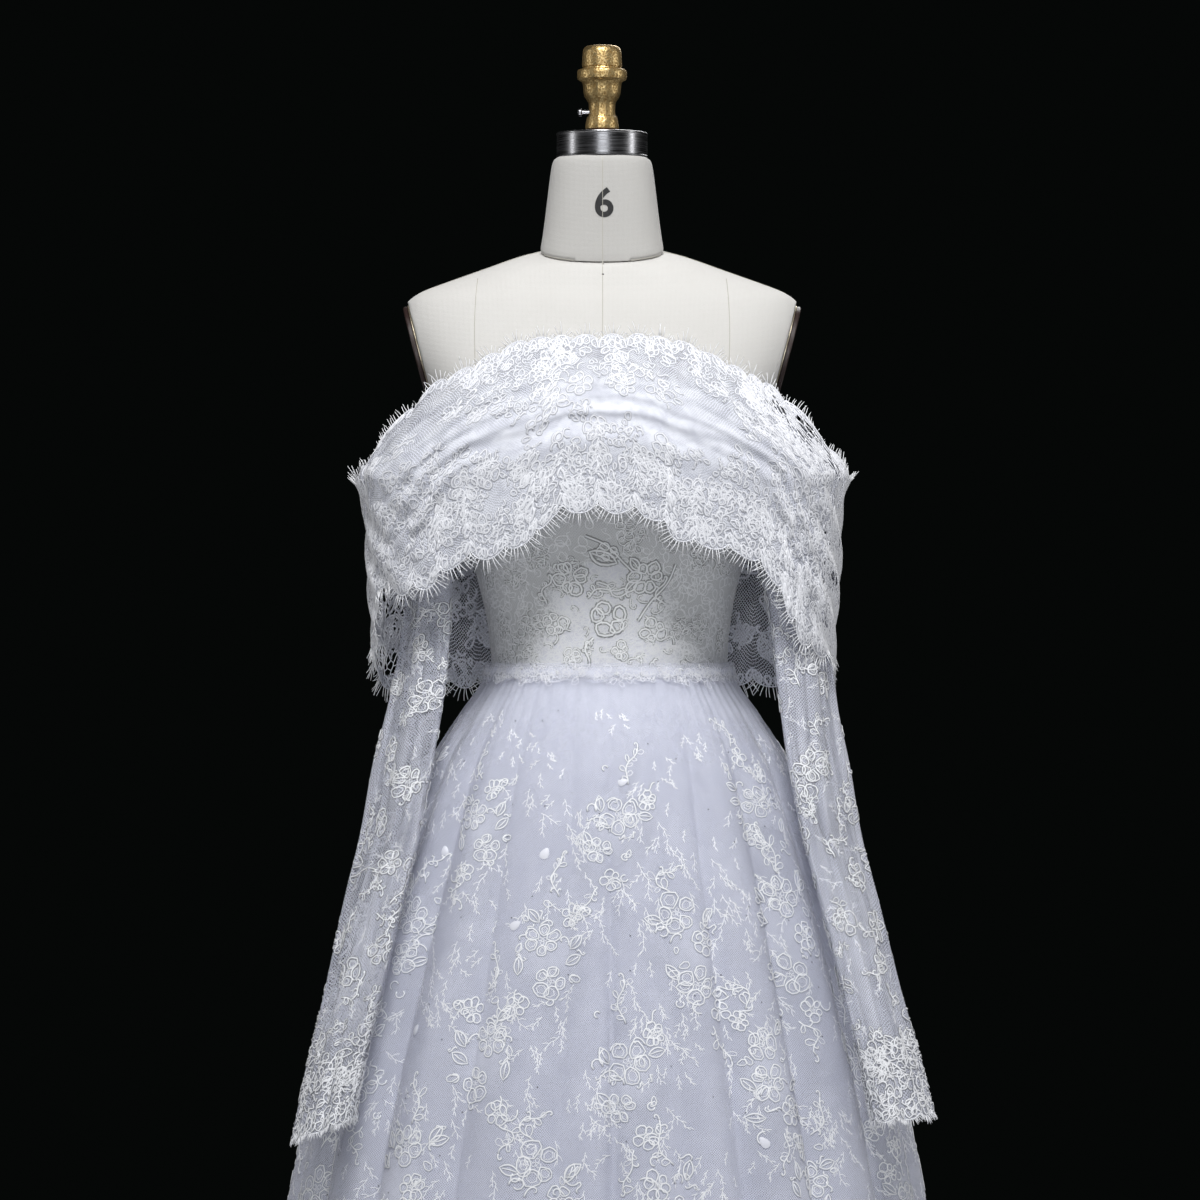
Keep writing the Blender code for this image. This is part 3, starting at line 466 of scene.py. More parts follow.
def sleeve_points(table, angle, place):
    """place counts the table's rows from the cuff, and angle 0 is the sleeve's outer middle."""
    rows = np.asarray(table, float)
    counted = np.column_stack((np.arange(len(rows)), rows))
    centre_z, centre_x, centre_y, long_half, short_half, turn, drop = (
        along(counted, place, c) for c in range(1, 8)
    )
    side = math.copysign(1, rows[0, 1])
    yaw = np.radians(turn)
    around = np.radians(angle)
    twist = SLEEVE_FOLD_COUNT * around + SLEEVE_FOLD_TWIST * centre_z
    fade = np.clip((len(rows) - 1 - place) / SLEEVE_FADE_ROWS, 0, 1)
    fold = SLEEVE_FOLD_DEPTH * np.cos(twist)
    fold = fold + 0.0013 * np.cos(13 * around - 5 * centre_z) + 0.0010 * np.cos(22 * around + 9 * centre_z)
    across = (short_half + fold * fade) * np.cos(around)
    lengthways = (long_half + fold * fade) * np.sin(around)
    x = side * (np.cos(yaw) * across + np.sin(yaw) * lengthways)
    y = -np.sin(yaw) * across + np.cos(yaw) * lengthways
    scallop = CUFF_SCALLOP * np.abs(np.sin(CUFF_SCALLOPS * around / 2)) ** 0.7
    z = centre_z - drop * side * x - scallop * np.clip(1 - place, 0, 1)
    return np.stack((centre_x + x, centre_y + y, z), axis=-1)


def waist_trim_points(angle, share):
    """share runs from 0 at the lower edge to 1 at the top."""
    low, top = WAIST_TRIM[0][0], WAIST_TRIM[-1][0]
    ragged = 0.55 + 0.25 * np.sin(np.radians(angle) * 23) + 0.2 * np.sin(np.radians(angle) * 41 + 1)
    low = low + 0.008 * ragged
    height = low + (top - low) * share
    half_width, front, back = (straight(WAIST_TRIM, height, c) + WAIST_TRIM_OUT for c in (1, 2, 3))
    x, y = oval(angle, half_width, front, back, BODY_ROUNDNESS)
    return np.stack((x + along(SWAY, height, 1), y, height), axis=-1)


# ---------------------------------------------------------------- cloth and cords


class Cloth:
    """A cloth that goes right round, kept as a fine grid of points: u is the angle."""

    def __init__(self, place, start, end, columns, rows, first=-90.0):
        self.first, self.start, self.end = first, start, end
        self.columns, self.rows = columns, rows
        u = np.linspace(first, first + 360, columns + 1)
        v = np.linspace(start, end, rows + 1)
        self.u, self.v = np.meshgrid(u, v, indexing="ij")
        self.points = place(self.u, self.v)
        self.points[-1] = self.points[0]
        ring = np.concatenate((self.points[-2:-1], self.points, self.points[1:2]))
        along_u = ring[2:] - ring[:-2]
        along_v = np.gradient(self.points, axis=1)
        normals = unit(np.cross(along_u, along_v))
        middles = self.points[:-1].mean(axis=0)
        facing = np.sum(normals * (self.points - middles))
        self.flip = facing < 0
        self.normals = -normals if self.flip else normals
        self.up = math.copysign(1, self.points[:, -1, 2].mean() - self.points[:, 0, 2].mean())
        self.cover = np.zeros(self.u.shape)

    def find(self, u, v):
        """The points and the outward normals at places on the cloth."""
        a = ((u - self.first) % 360) / 360 * self.columns
        b = np.clip((v - self.start) / (self.end - self.start), 0, 1) * self.rows
        i = np.minimum(a.astype(int), self.columns - 1)
        j = np.minimum(b.astype(int), self.rows - 1)
        s, t = (a - i)[:, None], (b - j)[:, None]
        found = []
        for grid in (self.points, self.normals):
            low = grid[i, j] * (1 - s) + grid[i + 1, j] * s
            high = grid[i, j + 1] * (1 - s) + grid[i + 1, j + 1] * s
            found.append(low * (1 - t) + high * t)
        return found[0], unit(found[1])

    def metres(self, u, v):
        """How far apart on the cloth two places one u apart are, and two places one v apart."""
        reach = 360 / self.columns * 3
        step = (self.end - self.start) * 0.02
        ends, _ = self.find(np.array([u - reach, u + reach]), np.array([v, v]))
        middle = min(max(v, self.start + step), self.end - step)
        sides, _ = self.find(np.array([u, u]), np.array([middle - step, middle + step]))
        around = np.linalg.norm(ends[1] - ends[0]) / (2 * reach)
        down = np.linalg.norm(sides[1] - sides[0]) / (2 * step)
        return around, down

    def nearest_front(self, x, z):
        """The places on the cloth's front that show at a sideways place and a height."""
        front = np.where(self.points[..., 1] < 0, 0, 9)
        u, v = [], []
        for px, pz in zip(np.atleast_1d(x), np.atleast_1d(z)):
            off = (self.points[..., 0] - px) ** 2 + (self.points[..., 2] - pz) ** 2 + front
            i, j = np.unravel_index(off.argmin(), off.shape)
            u.append(self.u[i, j])
            v.append(self.v[i, j])
        return np.array(u), np.array(v)

    def place_front(self, x, z):
        """The same, not held to the grid."""
        u, v = self.nearest_front(x, z)
        u, v = u.astype(float), v.astype(float)
        for _ in range(4):
            points, _ = self.find(u, v)
            du, dv = 0.5, (self.end - self.start) * 0.01
            across = (self.find(u + du, v)[0] - points)[:, [0, 2]] / du
            down = (self.find(u, v + dv)[0] - points)[:, [0, 2]] / dv
            off = np.stack((x, z), 1) - points[:, [0, 2]]
            size = across[:, 0] * down[:, 1] - across[:, 1] * down[:, 0]
            u = u + np.clip((off[:, 0] * down[:, 1] - off[:, 1] * down[:, 0]) / size, -3, 3)
            v = v + np.clip((off[:, 1] * across[:, 0] - off[:, 0] * across[:, 1]) / size, -3 * dv, 3 * dv)
        return u, v

    def thicken(self, u, v, radius, amount):
        """Makes the weave closer round a place."""
        around, down = self.metres(u, v)
        off_u = from_front(self.u - u) * around
        off_v = (self.v - v) * down
        spot = amount * np.exp(-((off_u**2 + off_v**2) / radius**2) ** 2)
        self.cover = np.maximum(self.cover, spot)


def mesh_object(name, points, polygons):
    """An object from an array of points and a list of arrays of equal-sided polygons."""
    used = np.unique(np.concatenate([p.ravel() for p in polygons]))
    renumber = np.zeros(len(points), int)
    renumber[used] = np.arange(len(used))
    polygons = [renumber[p] for p in polygons]
    mesh = bpy.data.meshes.new(name)
    mesh.vertices.add(len(used))
    mesh.vertices.foreach_set("co", points[used].astype(np.float32).ravel())
    corners = np.concatenate([p.ravel() for p in polygons])
    sizes = np.concatenate([np.full(len(p), p.shape[1]) for p in polygons])
    starts = np.concatenate(([0], np.cumsum(sizes)[:-1]))
    mesh.loops.add(len(corners))
    mesh.loops.foreach_set("vertex_index", corners.astype(np.int32))
    mesh.polygons.add(len(sizes))
    mesh.polygons.foreach_set("loop_start", starts.astype(np.int32))
    mesh.polygons.foreach_set("loop_total", sizes.astype(np.int32))
    mesh.update(calc_edges=True)
    mesh.shade_smooth()
    thing = bpy.data.objects.new(name, mesh)
    bpy.context.scene.collection.objects.link(thing)
    return thing, used


def in_zones(u, v, zones, grow=0.0):
    """Whether places lie in any of some round-cornered zones of the cloth."""
    inside = np.zeros(u.shape, bool)
    for first, last, low, high in zones:
        off_u = from_front(u - (first + last) / 2) / ((last - first) / 2 + grow * 50)
        off_v = (v - (low + high) / 2) / ((high - low) / 2 + grow)
        inside |= np.abs(off_u) ** 3 + np.abs(off_v) ** 3 < 1
    return inside


def cloth_sheet(name, cloth, first, last, zones=()):
    """The single layer of cloth between two angles, with a UV map in metres and its weave."""
    low = round((first - cloth.first) / 360 * cloth.columns)
    high = round((last - cloth.first) / 360 * cloth.columns)
    columns, rows = high - low, cloth.rows
    turn = np.arange(low, high + 1)
    if columns == cloth.columns:
        turn = np.append(turn[:-1], low)
    grid = np.arange((columns + 1) * (rows + 1)).reshape(columns + 1, rows + 1)
    points = cloth.points[turn].reshape(-1, 3)
    if columns == cloth.columns:
        grid[-1] = grid[0]
    quads = np.stack((grid[:-1, :-1], grid[1:, :-1], grid[1:, 1:], grid[:-1, 1:]), -1).reshape(-1, 4)
    if cloth.flip:
        quads = quads[:, ::-1]
    if zones:
        u, v = cloth.u[low : high + 1], cloth.v[low : high + 1]
        middle_u = (u[:-1, :-1] + u[1:, :-1]) / 2
        middle_v = (v[:-1, :-1] + v[:-1, 1:]) / 2
        quads = quads[~in_zones(middle_u, middle_v, zones).ravel()]
    thing, used = mesh_object(name, points, [quads])
    spans = np.linalg.norm(np.diff(cloth.points, axis=0), axis=2).mean(axis=1)
    drops = np.linalg.norm(np.diff(cloth.points, axis=1), axis=2).mean(axis=0)
    across = np.concatenate(([0], np.cumsum(spans)))
    down = np.concatenate(([0], np.cumsum(drops)))
    place = np.stack(np.meshgrid(across[low : high + 1], down, indexing="ij"), -1).reshape(-1, 2)
    mesh = thing.data
    layer = mesh.uv_layers.new(name="cloth")
    corners = np.empty(len(mesh.loops), np.int32)
    mesh.loops.foreach_get("vertex_index", corners)
    layer.data.foreach_set("uv", place[used][corners].astype(np.float32).ravel())
    cover = mesh.attributes.new("cover", "FLOAT", "POINT")
    cover.data.foreach_set("value", cloth.cover[turn].reshape(-1)[used].astype(np.float32))
    return thing


RIBBON = 0.00046
# The foot of a cord spreads this many radii to each side and carries the painted shadow along the cord.
SHADOW_FOOT = 2.5


class Motif:
    """A piece of corded lace drawn flat: strokes of (points, radius, closed), in metres.

    Cords have a flat foot, coloured as a painted shadow along the cord, and a ridge; threads finer than RIBBON are
    flat.
    """

    def __init__(self, strokes):
        points, radii, before, after, quads, caps, owner = [], [], [], [], [], [], []
        count = 0
        for number, (stroke, radius, closed) in enumerate(strokes):
            n = len(stroke)
            index = np.arange(n) + count
            points.append(stroke)
            radii.append(np.full(n, radius))
            owner.append(np.full(n, number))
            if closed:
                before.append(np.roll(index, 1))
                after.append(np.roll(index, -1))
                ends = np.stack((index, np.roll(index, -1)), 1)
            else:
                before.append(np.concatenate(([index[0]], index[:-1])))
                after.append(np.concatenate((index[1:], [index[-1]])))
                ends = np.stack((index[:-1], index[1:]), 1)
                if radius > RIBBON:
                    caps.append([3 * index[0], 3 * index[0] + 1, 3 * index[0] + 2])
                    caps.append([3 * index[-1] + 2, 3 * index[-1] + 1, 3 * index[-1]])
            i, j = 3 * ends[:, 0], 3 * ends[:, 1]
            if radius > RIBBON:
                quads.append(np.stack((i + 1, j + 1, j + 2, i + 2), 1))
                quads.append(np.stack((i + 2, j + 2, j, i), 1))
            else:
                quads.append(np.stack((i + 1, j + 1, j, i), 1))
            count += n
        self.points = np.concatenate(points)
        self.radii = np.concatenate(radii)
        self.before, self.after = np.concatenate(before), np.concatenate(after)
        self.owner = np.concatenate(owner)
        self.quads = np.concatenate(quads)
        self.caps = np.array(caps, int).reshape(-1, 3)


def cord_rings(points, normals, radii, before, after, foot=1.0):
    """Three points round each point of a cord that lies on a cloth: two below and one on top."""
    ahead = unit(points[after] - points[before])
    side = unit(np.cross(ahead, normals))
    thick = radii[:, None]
    base = points + normals * np.where(thick > RIBBON, 0.00012, 0.00050)
    wide = side * np.where(thick > RIBBON, thick * foot, thick)
    rings = np.stack((base - wide, base + wide, base + normals * thick * 1.7), 1)
    return rings.reshape(-1, 3)


def ridges(radii, foot):
    """1 where a ring's points are cord and 0 where they are its foot, which is coloured as a painted shadow."""
    height = np.ones((len(radii), 3))
    if foot > 1:
        height[radii > RIBBON, :2] = 0
    return height.ravel()


class Cording:
    """The cords sewn on one cloth, gathered into one mesh."""

    def __init__(self, cloth):
        self.cloth = cloth
        self.points, self.quads, self.triangles, self.count = [], [], [], 0
        self.ridges = []

    def add(self, rings, quads, triangles, ridge=None):
        self.points.append(rings)
        self.ridges.append(np.ones(len(rings)) if ridge is None else ridge)
        self.quads.append(quads + self.count)
        self.triangles.append(triangles + self.count)
        self.count += len(rings)

    def lay(self, motif, u, v, turn=0.0, size=1.0, mirror=False, off=()):
        """Lays a motif at a place; strokes that would leave the cloth or enter `off` are left out."""
        x, y = motif.points.T * size
        if mirror:
            x = -x
        c, s = math.cos(turn), math.sin(turn)
        x, y = x * c - y * s, x * s + y * c
        around, down = self.cloth.metres(u, v)
        uu = u + x / around
        vv = v + self.cloth.up * y / down
        low, high = sorted((self.cloth.start, self.cloth.end))
        out = (vv < low) | (vv > high)
        if off:
            out |= in_zones(uu, vv, off)
        lost = np.zeros(motif.owner[-1] + 1, bool)
        lost[motif.owner[out]] = True
        points, normals = self.cloth.find(uu, vv)
        grown = np.where(motif.radii > RIBBON, np.maximum(motif.radii * size**0.5, RIBBON * 1.01), motif.radii)
        rings = cord_rings(points, normals, grown, motif.before, motif.after, SHADOW_FOOT)
        quads, caps = motif.quads, motif.caps
        if lost.any():
            quads = quads[~lost[motif.owner[quads[:, 0] // 3]]]
            caps = caps[~lost[motif.owner[caps[:, 0] // 3]]]
        self.add(rings, quads, caps, ridges(motif.radii, SHADOW_FOOT))

    def line(self, u, v, radius, closed=False, foot=1.0):
        """A cord through places on the cloth."""
        motif = Motif([(np.zeros((len(u), 2)), radius, closed)])
        points, normals = self.cloth.find(np.asarray(u, float), np.asarray(v, float))
        rings = cord_rings(points, normals, motif.radii, motif.before, motif.after, foot)
        self.add(rings, motif.quads, motif.caps, ridges(motif.radii, foot))

    def scatter(self, motifs, first, last, low, high, spacing, off=(), sizes=(0.85, 1.15), wanted=None):
        """Lays motifs evenly over part of the cloth, each a little out of line and turned its own way."""
        row, v = 0, low
        while v < high:
            around, down = self.cloth.metres((first + last) / 2, v)
            count = max(1, round((last - first) * around / spacing))
            for k in range(count):
                u = first + (last - first) * (k + 0.5 * (row % 2) + 0.25) / count
                u += random.uniform(-0.36, 0.36) * spacing / around
                place = v + random.uniform(-0.42, 0.42) * spacing / down
                place = min(max(place, low), high)
                turn, size = random.uniform(0, 2 * math.pi), random.uniform(*sizes)
                if wanted is None or random.random() < wanted(u, place):
                    self.lay(pick(motifs), u, place, turn, size, off=off)
            v += spacing * 0.87 / down
            row += 1

    def mesh(self, name):
        polygons = [np.concatenate(self.quads)]
        triangles = np.concatenate(self.triangles)
        if len(triangles):
            polygons.append(triangles)
        thing, used = mesh_object(name, np.concatenate(self.points), polygons)
        ridge = thing.data.attributes.new("ridge", "FLOAT", "POINT")
        ridge.data.foreach_set("value", np.concatenate(self.ridges)[used].astype(np.float32))
        return thing


def eyelashes(cording, u, v, away, length, random, splay=0.25):
    """Loose thread ends along an edge; away is 1 where they leave the cloth upwards."""
    cloth = cording.cloth
    points, normals = cloth.find(u, v)
    ahead = unit(np.gradient(points, axis=0))
    outward = np.cross(normals, ahead)
    outward *= np.sign((outward[:, 2] * away).sum())
    count = len(u)
    lean = random.uniform(-0.13, 0.13, (count, 1))
    lift = splay * random.uniform(0.3, 1.3, (count, 1))
    reach = length * random.uniform(0.80, 1.12, (count, 1))
    way = unit(outward + ahead * lean + normals * lift)
    bend = normals * random.uniform(-0.15, 0.15, (count, 1)) + ahead * random.uniform(-0.2, 0.2, (count, 1))
    stations = ((-0.10, 1.0), (0.5, 0.95), (1.0, 0.75))
    thick = 0.00042
    rings = []
    for share, taper in stations:
        middle = points + way * reach * share + bend * reach * share * share + normals * 0.0003
        side = unit(np.cross(way, normals)) * thick * taper
        rings += [middle - side, middle + side, middle + normals * thick * 1.5 * taper]
    rings = np.stack(rings, 1).reshape(-1, 3)
    base = (np.arange(count) * 9)[:, None]
    quads = []
    for ring in (0, 3):
        for a, b in ((0, 1), (1, 2), (2, 0)):
            quads.append(base + np.array([ring + a, ring + b, ring + 3 + b, ring + 3 + a]))
    caps = np.concatenate((base + np.array([2, 1, 0]), base + np.array([6, 7, 8])))
    cording.add(rings, np.concatenate(quads), caps)


# ---------------------------------------------------------------- lace drawn flat

CORD = 0.00058
FINE_CORD = 0.00048
TWIG = 0.00036
FAINT = 0.00026


def turned(strokes, x=0.0, y=0.0, turn=0.0, size=1.0):
    c, s = math.cos(turn), math.sin(turn)
    spin = np.array([[c, s], [-s, c]])
    return [((p * size) @ spin + (x, y), radius, closed) for p, radius, closed in strokes]


def petal(length, width, points=9, radius=CORD, start=0.0, taper=0.35):
    """A closed petal that leaves the origin along +x."""
    t = np.arange(points) / points
    x = length * (0.5 - 0.5 * np.cos(2 * np.pi * t))
    y = width / 2 * np.sin(2 * np.pi * t) * (x / length + 0.02) ** taper
    return [(np.column_stack((x + start, y)), radius, True)]


def ring(radius, points=7, cord=FINE_CORD):
    t = 2 * np.pi * np.arange(points) / points
    return [(np.column_stack((radius * np.cos(t), radius * np.sin(t))), cord, True)]


def flower(random, radius, petals=6, rows=2):
    """Round petals about a middle of small rings; with two rows each petal has an inner line."""
    strokes = []
    for k in range(3):
        spot = 2.1 * k
        strokes += turned(ring(radius * 0.10, 5, TWIG), radius * 0.13 * math.cos(spot), radius * 0.13 * math.sin(spot))
    for k in range(petals):
        turn = 2 * math.pi * k / petals + random.uniform(-0.25, 0.25)
        length = radius * random.uniform(0.52, 0.84)
        width = length * random.uniform(0.80, 1.20) * 6 / petals
        start = radius * 0.25
        outline, cord, closed = petal(length, width, 9, CORD, start, 0.15)[0]
        outline = outline + random.uniform(-0.055, 0.055, outline.shape) * length
        strokes += turned([(outline, cord, closed)], turn=turn)
        if rows == 2:
            inner = petal(length * 0.62, width * 0.58, 6, TWIG, start + length * 0.16, 0.15)
            strokes += turned(inner, turn=turn + random.uniform(-0.10, 0.10))
    return strokes


def leaf(length, width):
    t = np.linspace(0, 1, 6)
    y = width / 2 * np.sin(np.pi * t) ** 0.8
    x = length * t
    edge = np.concatenate((np.column_stack((x, y)), np.column_stack((x, -y))[-2:0:-1]))
    vein = np.column_stack((length * np.array([0.1, 0.5, 0.85]), width * np.array([0, 0.06, 0])))
    return [(edge, CORD, True), (vein, FINE_CORD, False)]


def hook(length, curl):
    """A stem that ends in a curl."""
    t = np.linspace(0, 1, 10)
    turn = curl * t**2.2
    step = length / 9 * (1 - 0.45 * t)
    x = np.concatenate(([0], np.cumsum(step[1:] * np.cos(turn[1:]))))
    y = np.concatenate(([0], np.cumsum(step[1:] * np.sin(turn[1:]))))
    return [(np.column_stack((x, y)), CORD, False)]


def vine(random, length, pairs=4):
    """A waved stem with small round leaves, now left and now right, and a curl at its end."""
    bend, sway = random.uniform(-0.7, 0.7), random.uniform(0.5, 1.1) * random.choice((-1, 1))
    t = np.linspace(0, 1, 10)
    angle = bend * (t - 0.3) * 2 + sway * np.sin(2 * np.pi * t)
    step = length / 9
    x = np.concatenate(([0], np.cumsum(step * np.cos(angle[1:]))))
    y = np.concatenate(([0], np.cumsum(step * np.sin(angle[1:]))))
    stem = np.column_stack((x, y))
    strokes = [(stem, CORD, False)]
    for k in range(2 * pairs):
        at = 1 + int(8 * k / (2 * pairs))
        side = -1 if k % 2 else 1
        size = length * random.uniform(0.13, 0.25)
        turn = angle[at] + side * random.uniform(0.5, 1.3)
        if random.random() < 0.3:
            strokes += turned(hook(size * 1.3, side * 3.6), *stem[at], turn)
        else:
            loop = petal(size, size * random.uniform(0.50, 0.85), 7, TWIG if k % 2 else FINE_CORD)
            strokes += turned(loop, *stem[at], turn)
    strokes += turned(hook(length * 0.3, random.choice((-1, 1)) * 4.2), *stem[-1], angle[-1])
    return strokes


def twig(random, length, branches=5):
    """A thin wavering stem with short side shoots, as of fern."""
    n = 5
    stem = np.column_stack((np.linspace(0, length, n), random.uniform(-0.06, 0.06, n) * length))
    strokes = [(stem, TWIG, False)]
    for k in range(branches):
        share = (k + 0.6) / (branches + 0.4)
        at = np.array([length * share, np.interp(share * (n - 1), np.arange(n), stem[:, 1])])
        side = 1 if k % 2 else -1
        reach = length * random.uniform(0.20, 0.36)
        turn = side * random.uniform(0.45, 0.95)
        shoot = np.column_stack(
            (np.array([0, 0.5, 1.0]) * reach, np.array([0, 0.10, -0.06]) * reach * side)
        )
        strokes += turned([(shoot, TWIG, False)], *at, turn)
    return strokes


def fern(random, radius, count):
    """A loose patch of twigs that mostly run the same way."""
    strokes = []
    for k in range(count):
        x, y = random.uniform(-0.55, 0.55) * radius, random.uniform(-1, 1) * radius
        turn = -math.pi / 2 + random.uniform(-0.7, 0.7)
        strokes += turned(twig(random, random.uniform(0.010, 0.018), 4), x, y, turn)
    return strokes


BLOOMS = (
    ((-0.006, -0.004, 0.021), (0.0, 0.032, 0.017), (0.012, -0.040, 0.016), (-0.016, 0.060, 0.010)),
    ((0.004, 0.036, 0.020), (0.006, -0.034, 0.018), (-0.014, 0.002, 0.014), (-0.010, -0.064, 0.011)),
    ((0.0, 0.012, 0.022), (-0.010, -0.030, 0.017), (0.028, 0.036, 0.012), (0.012, -0.058, 0.012)),
    ((0.010, 0.010, 0.020), (-0.012, -0.026, 0.018), (-0.010, 0.042, 0.014), (0.010, -0.058, 0.012)),
    ((0.0, 0.0, 0.020), (0.020, -0.036, 0.015), (-0.024, 0.028, 0.012), (-0.004, 0.054, 0.012)),
)


def spray(random, kind, flowers=4, scrolls=6, twigs=12):
    """A tall spray of flowers with vines, leaves, scrolls and twigs."""
    strokes = []
    blooms = BLOOMS[kind][:flowers]
    for number, (x, y, radius) in enumerate(blooms):
        rows = 2 if number < flowers - 2 else 1
        strokes += turned(flower(random, radius, int(random.integers(5, 7)), rows), x, y, random.uniform(0, 6.3))
    top = max(b[1] + b[2] for b in blooms)
    low = min(b[1] - b[2] for b in blooms)
    strokes += turned(vine(random, 0.046, 4), blooms[0][0], top, math.pi / 2 + random.uniform(-0.5, 0.5))
    strokes += turned(vine(random, 0.040, 3), blooms[0][0], low, -math.pi / 2 + random.uniform(-0.6, 0.6))
    for side in (-1, 1):
        strokes += turned(
            hook(0.026, side * 4.0), side * 0.018, random.uniform(-0.02, 0.03), side * 0.5 + math.pi / 2
        )
        for k in range(2):
            turn = math.pi / 2 + side * random.uniform(-1.4, -0.3)
            strokes += turned(leaf(0.018, 0.009), side * 0.020, random.uniform(-0.045, 0.045), turn)
        for k in range(scrolls):
            x, y = side * random.uniform(0.008, 0.032), random.uniform(-0.070, 0.065)
            bend = random.uniform(2.0, 5.0)
            strokes += turned(curl(random, random.uniform(0.012, 0.024), bend), x, y, random.uniform(0, 6.3))
            if k % 2:
                size = random.uniform(0.006, 0.011)
                x, y = side * random.uniform(0.012, 0.032), random.uniform(-0.060, 0.055)
                strokes += turned(petal(size, size * 0.75, 7, FINE_CORD), x, y, random.uniform(0, 6.3))
        for k in range(twigs):
            x, y = side * random.uniform(0.010, 0.046), random.uniform(-0.090, 0.075)
            turn = -math.pi / 2 + random.uniform(-0.9, 0.9)
            strokes += turned(twig(random, random.uniform(0.012, 0.022), 4), x, y, turn)
    return strokes


def curl(random, length, bend):
    """A short cord bent into a C or an S."""
    t = np.linspace(0, 1, 7)
    s_shape = random.random() < 0.35
    angle = bend * (np.sin(np.pi * t) if s_shape else t - 0.5)
    step = length / 6
    x = np.concatenate(([0], np.cumsum(step * np.cos(angle[1:]))))
    y = np.concatenate(([0], np.cumsum(step * np.sin(angle[1:]))))
    return [(np.column_stack((x - x.mean(), y - y.mean())), CORD, False)]


def tangle(random, reach, count):
    """A patch of close corded loops and curls, as fills the borders of the lace."""
    strokes = []
    golden = math.pi * (3 - math.sqrt(5))
    for k in range(count):
        away = reach * math.sqrt((k + 0.5) / count)
        x, y = away * math.cos(k * golden), away * math.sin(k * golden)
        turn = random.uniform(0, 2 * math.pi)
        kind = random.random()
        if kind < 0.45:
            size = random.uniform(0.0085, 0.0135)
            strokes += turned(petal(size, size * random.uniform(0.65, 1.0), 8), x, y, turn)
        else:
            length = random.uniform(0.014, 0.023)
            strokes += turned(curl(random, length, random.uniform(2.4, 5.4)), x, y, turn)
    return strokes


random = np.random.default_rng(6)
TANGLES = [Motif(tangle(random, 0.0165, 10)) for k in range(12)]
SPRAYS = [Motif(spray(random, k % 5)) for k in range(10)]
HEM_SPRAYS = [Motif(spray(random, k, 3, 3, 5)) for k in range(5)]
FERNS = [Motif(fern(random, 0.030, 7)) for k in range(6)]
FLOWERS = [Motif(flower(random, 0.0135, 5 + k % 2, 2)) for k in range(6)]
SMALL_FLOWERS = [Motif(flower(random, 0.0085, 5, 1)) for k in range(4)]
VINES = [Motif(vine(random, 0.034, 4)) for k in range(6)]
HOOKS = [Motif(hook(0.020, turn)) for turn in (4.2, -4.2, 5.0, -3.4)]
TWIGS = [Motif(twig(random, 0.015, 4)) for k in range(5)]
FINE_TANGLES = [Motif([(p, FAINT, closed) for p, _, closed in tangle(random, 0.012, 11)]) for k in range(8)]
SIDE_CURLS = [Motif([(p, TWIG, closed) for p, _, closed in tangle(random, 0.020, 9)]) for k in range(8)]
LOOP = Motif(petal(0.0095, 0.0080, 7, CORD))
SPOKE = [(np.array([[0.0085, 0.0], [0.0125, 0.0]]), TWIG, False)]
MEDALLION = Motif(
    ring(0.0125, 14, CORD)
    + ring(0.0085, 11)
    + ring(0.0035, 7)
    + [stroke for k in range(12) for stroke in turned(SPOKE, turn=k * math.pi / 6)]
)


def pick(motifs):
    return motifs[int(random.integers(len(motifs)))]


NET_CORD = 0.00047


def net_cords(cording, zones, pitch):
    """Real threads across the open zones: an uneven six-sided net."""
    cloth = cording.cloth
    for zone in zones:
        first, last, low, high = zone
        middle_u, middle_v = (first + last) / 2, (low + high) / 2
        around, down = cloth.metres(middle_u, middle_v)
        columns = int((last - first) * around / pitch) + 3
        rows = int((high - low) * down / (pitch * 0.78)) + 3
        knots = {}
        for i in range(columns * 2):
            for j in range(rows):
                x = (i - columns) * pitch * 0.5
                y = (j - rows / 2) * pitch * 0.80 + (0.22 if (i + j) % 2 else -0.22) * pitch
                x += random.uniform(-0.14, 0.14) * pitch
                y += random.uniform(-0.14, 0.14) * pitch
                knots[i, j] = (middle_u + x / around, middle_v - y / down)
        for (i, j), here in knots.items():
            others = [(i + 1, j)]
            if (i + j) % 2:
                others.append((i, j + 1))
            for other in others:
                if other not in knots:
                    continue
                there = knots[other]
                u = np.array([here[0], there[0]])
                v = np.array([here[1], there[1]])
                if in_zones(u, v, [zone], 0.02).all() and v.min() > 0 and v.max() < 1:
                    cording.line(u, v, NET_CORD)


def edge_run(cloth, v_edge, first, last, count):
    """Places along an edge, and how far along it each one lies."""
    u = np.linspace(first, last, count)
    points, _ = cloth.find(u, np.full_like(u, v_edge))
    return u, np.concatenate(([0], np.cumsum(np.linalg.norm(np.diff(points, axis=0), axis=1))))


OUTLINE_STEP = 0.0026
LOOP_STEP = 0.0088
LOOP_INSET = 0.004


def edge_work(cording, v_edge, inward, first, last, away, lash=0.0, step=0.0026, seed=3):
    """An outline cord, a row of loops inside it and eyelashes outside it, along one edge."""
    cloth = cording.cloth
    dense_u, run = edge_run(cloth, v_edge, first, last, 1600)
    total = run[-1]
    _, down = cloth.metres((first + last) / 2, v_edge)
    closed = abs(last - first - 360) < 1e-6
    count = int(total / OUTLINE_STEP)
    u = np.interp(np.linspace(0, total, count, endpoint=not closed), run, dense_u)
    cording.line(u, np.full_like(u, v_edge + inward * 0.0006 / down), CORD, closed)
    for distance in np.arange(LOOP_INSET, total - LOOP_INSET, LOOP_STEP):
        place = float(np.interp(distance, run, dense_u))
        turn = random.uniform(-0.4, 0.4) - away * math.pi / 2
        cording.lay(LOOP, place, v_edge + inward * 0.0020 / down, turn)
    if lash:
        own = np.random.default_rng(seed)
        distances = np.arange(0.002, total - 0.002, step)
        distances = distances + own.uniform(-0.3, 0.3, len(distances)) * step
        u = np.interp(distances, run, dense_u)
        eyelashes(cording, u, np.full_like(u, v_edge), away, lash, own)


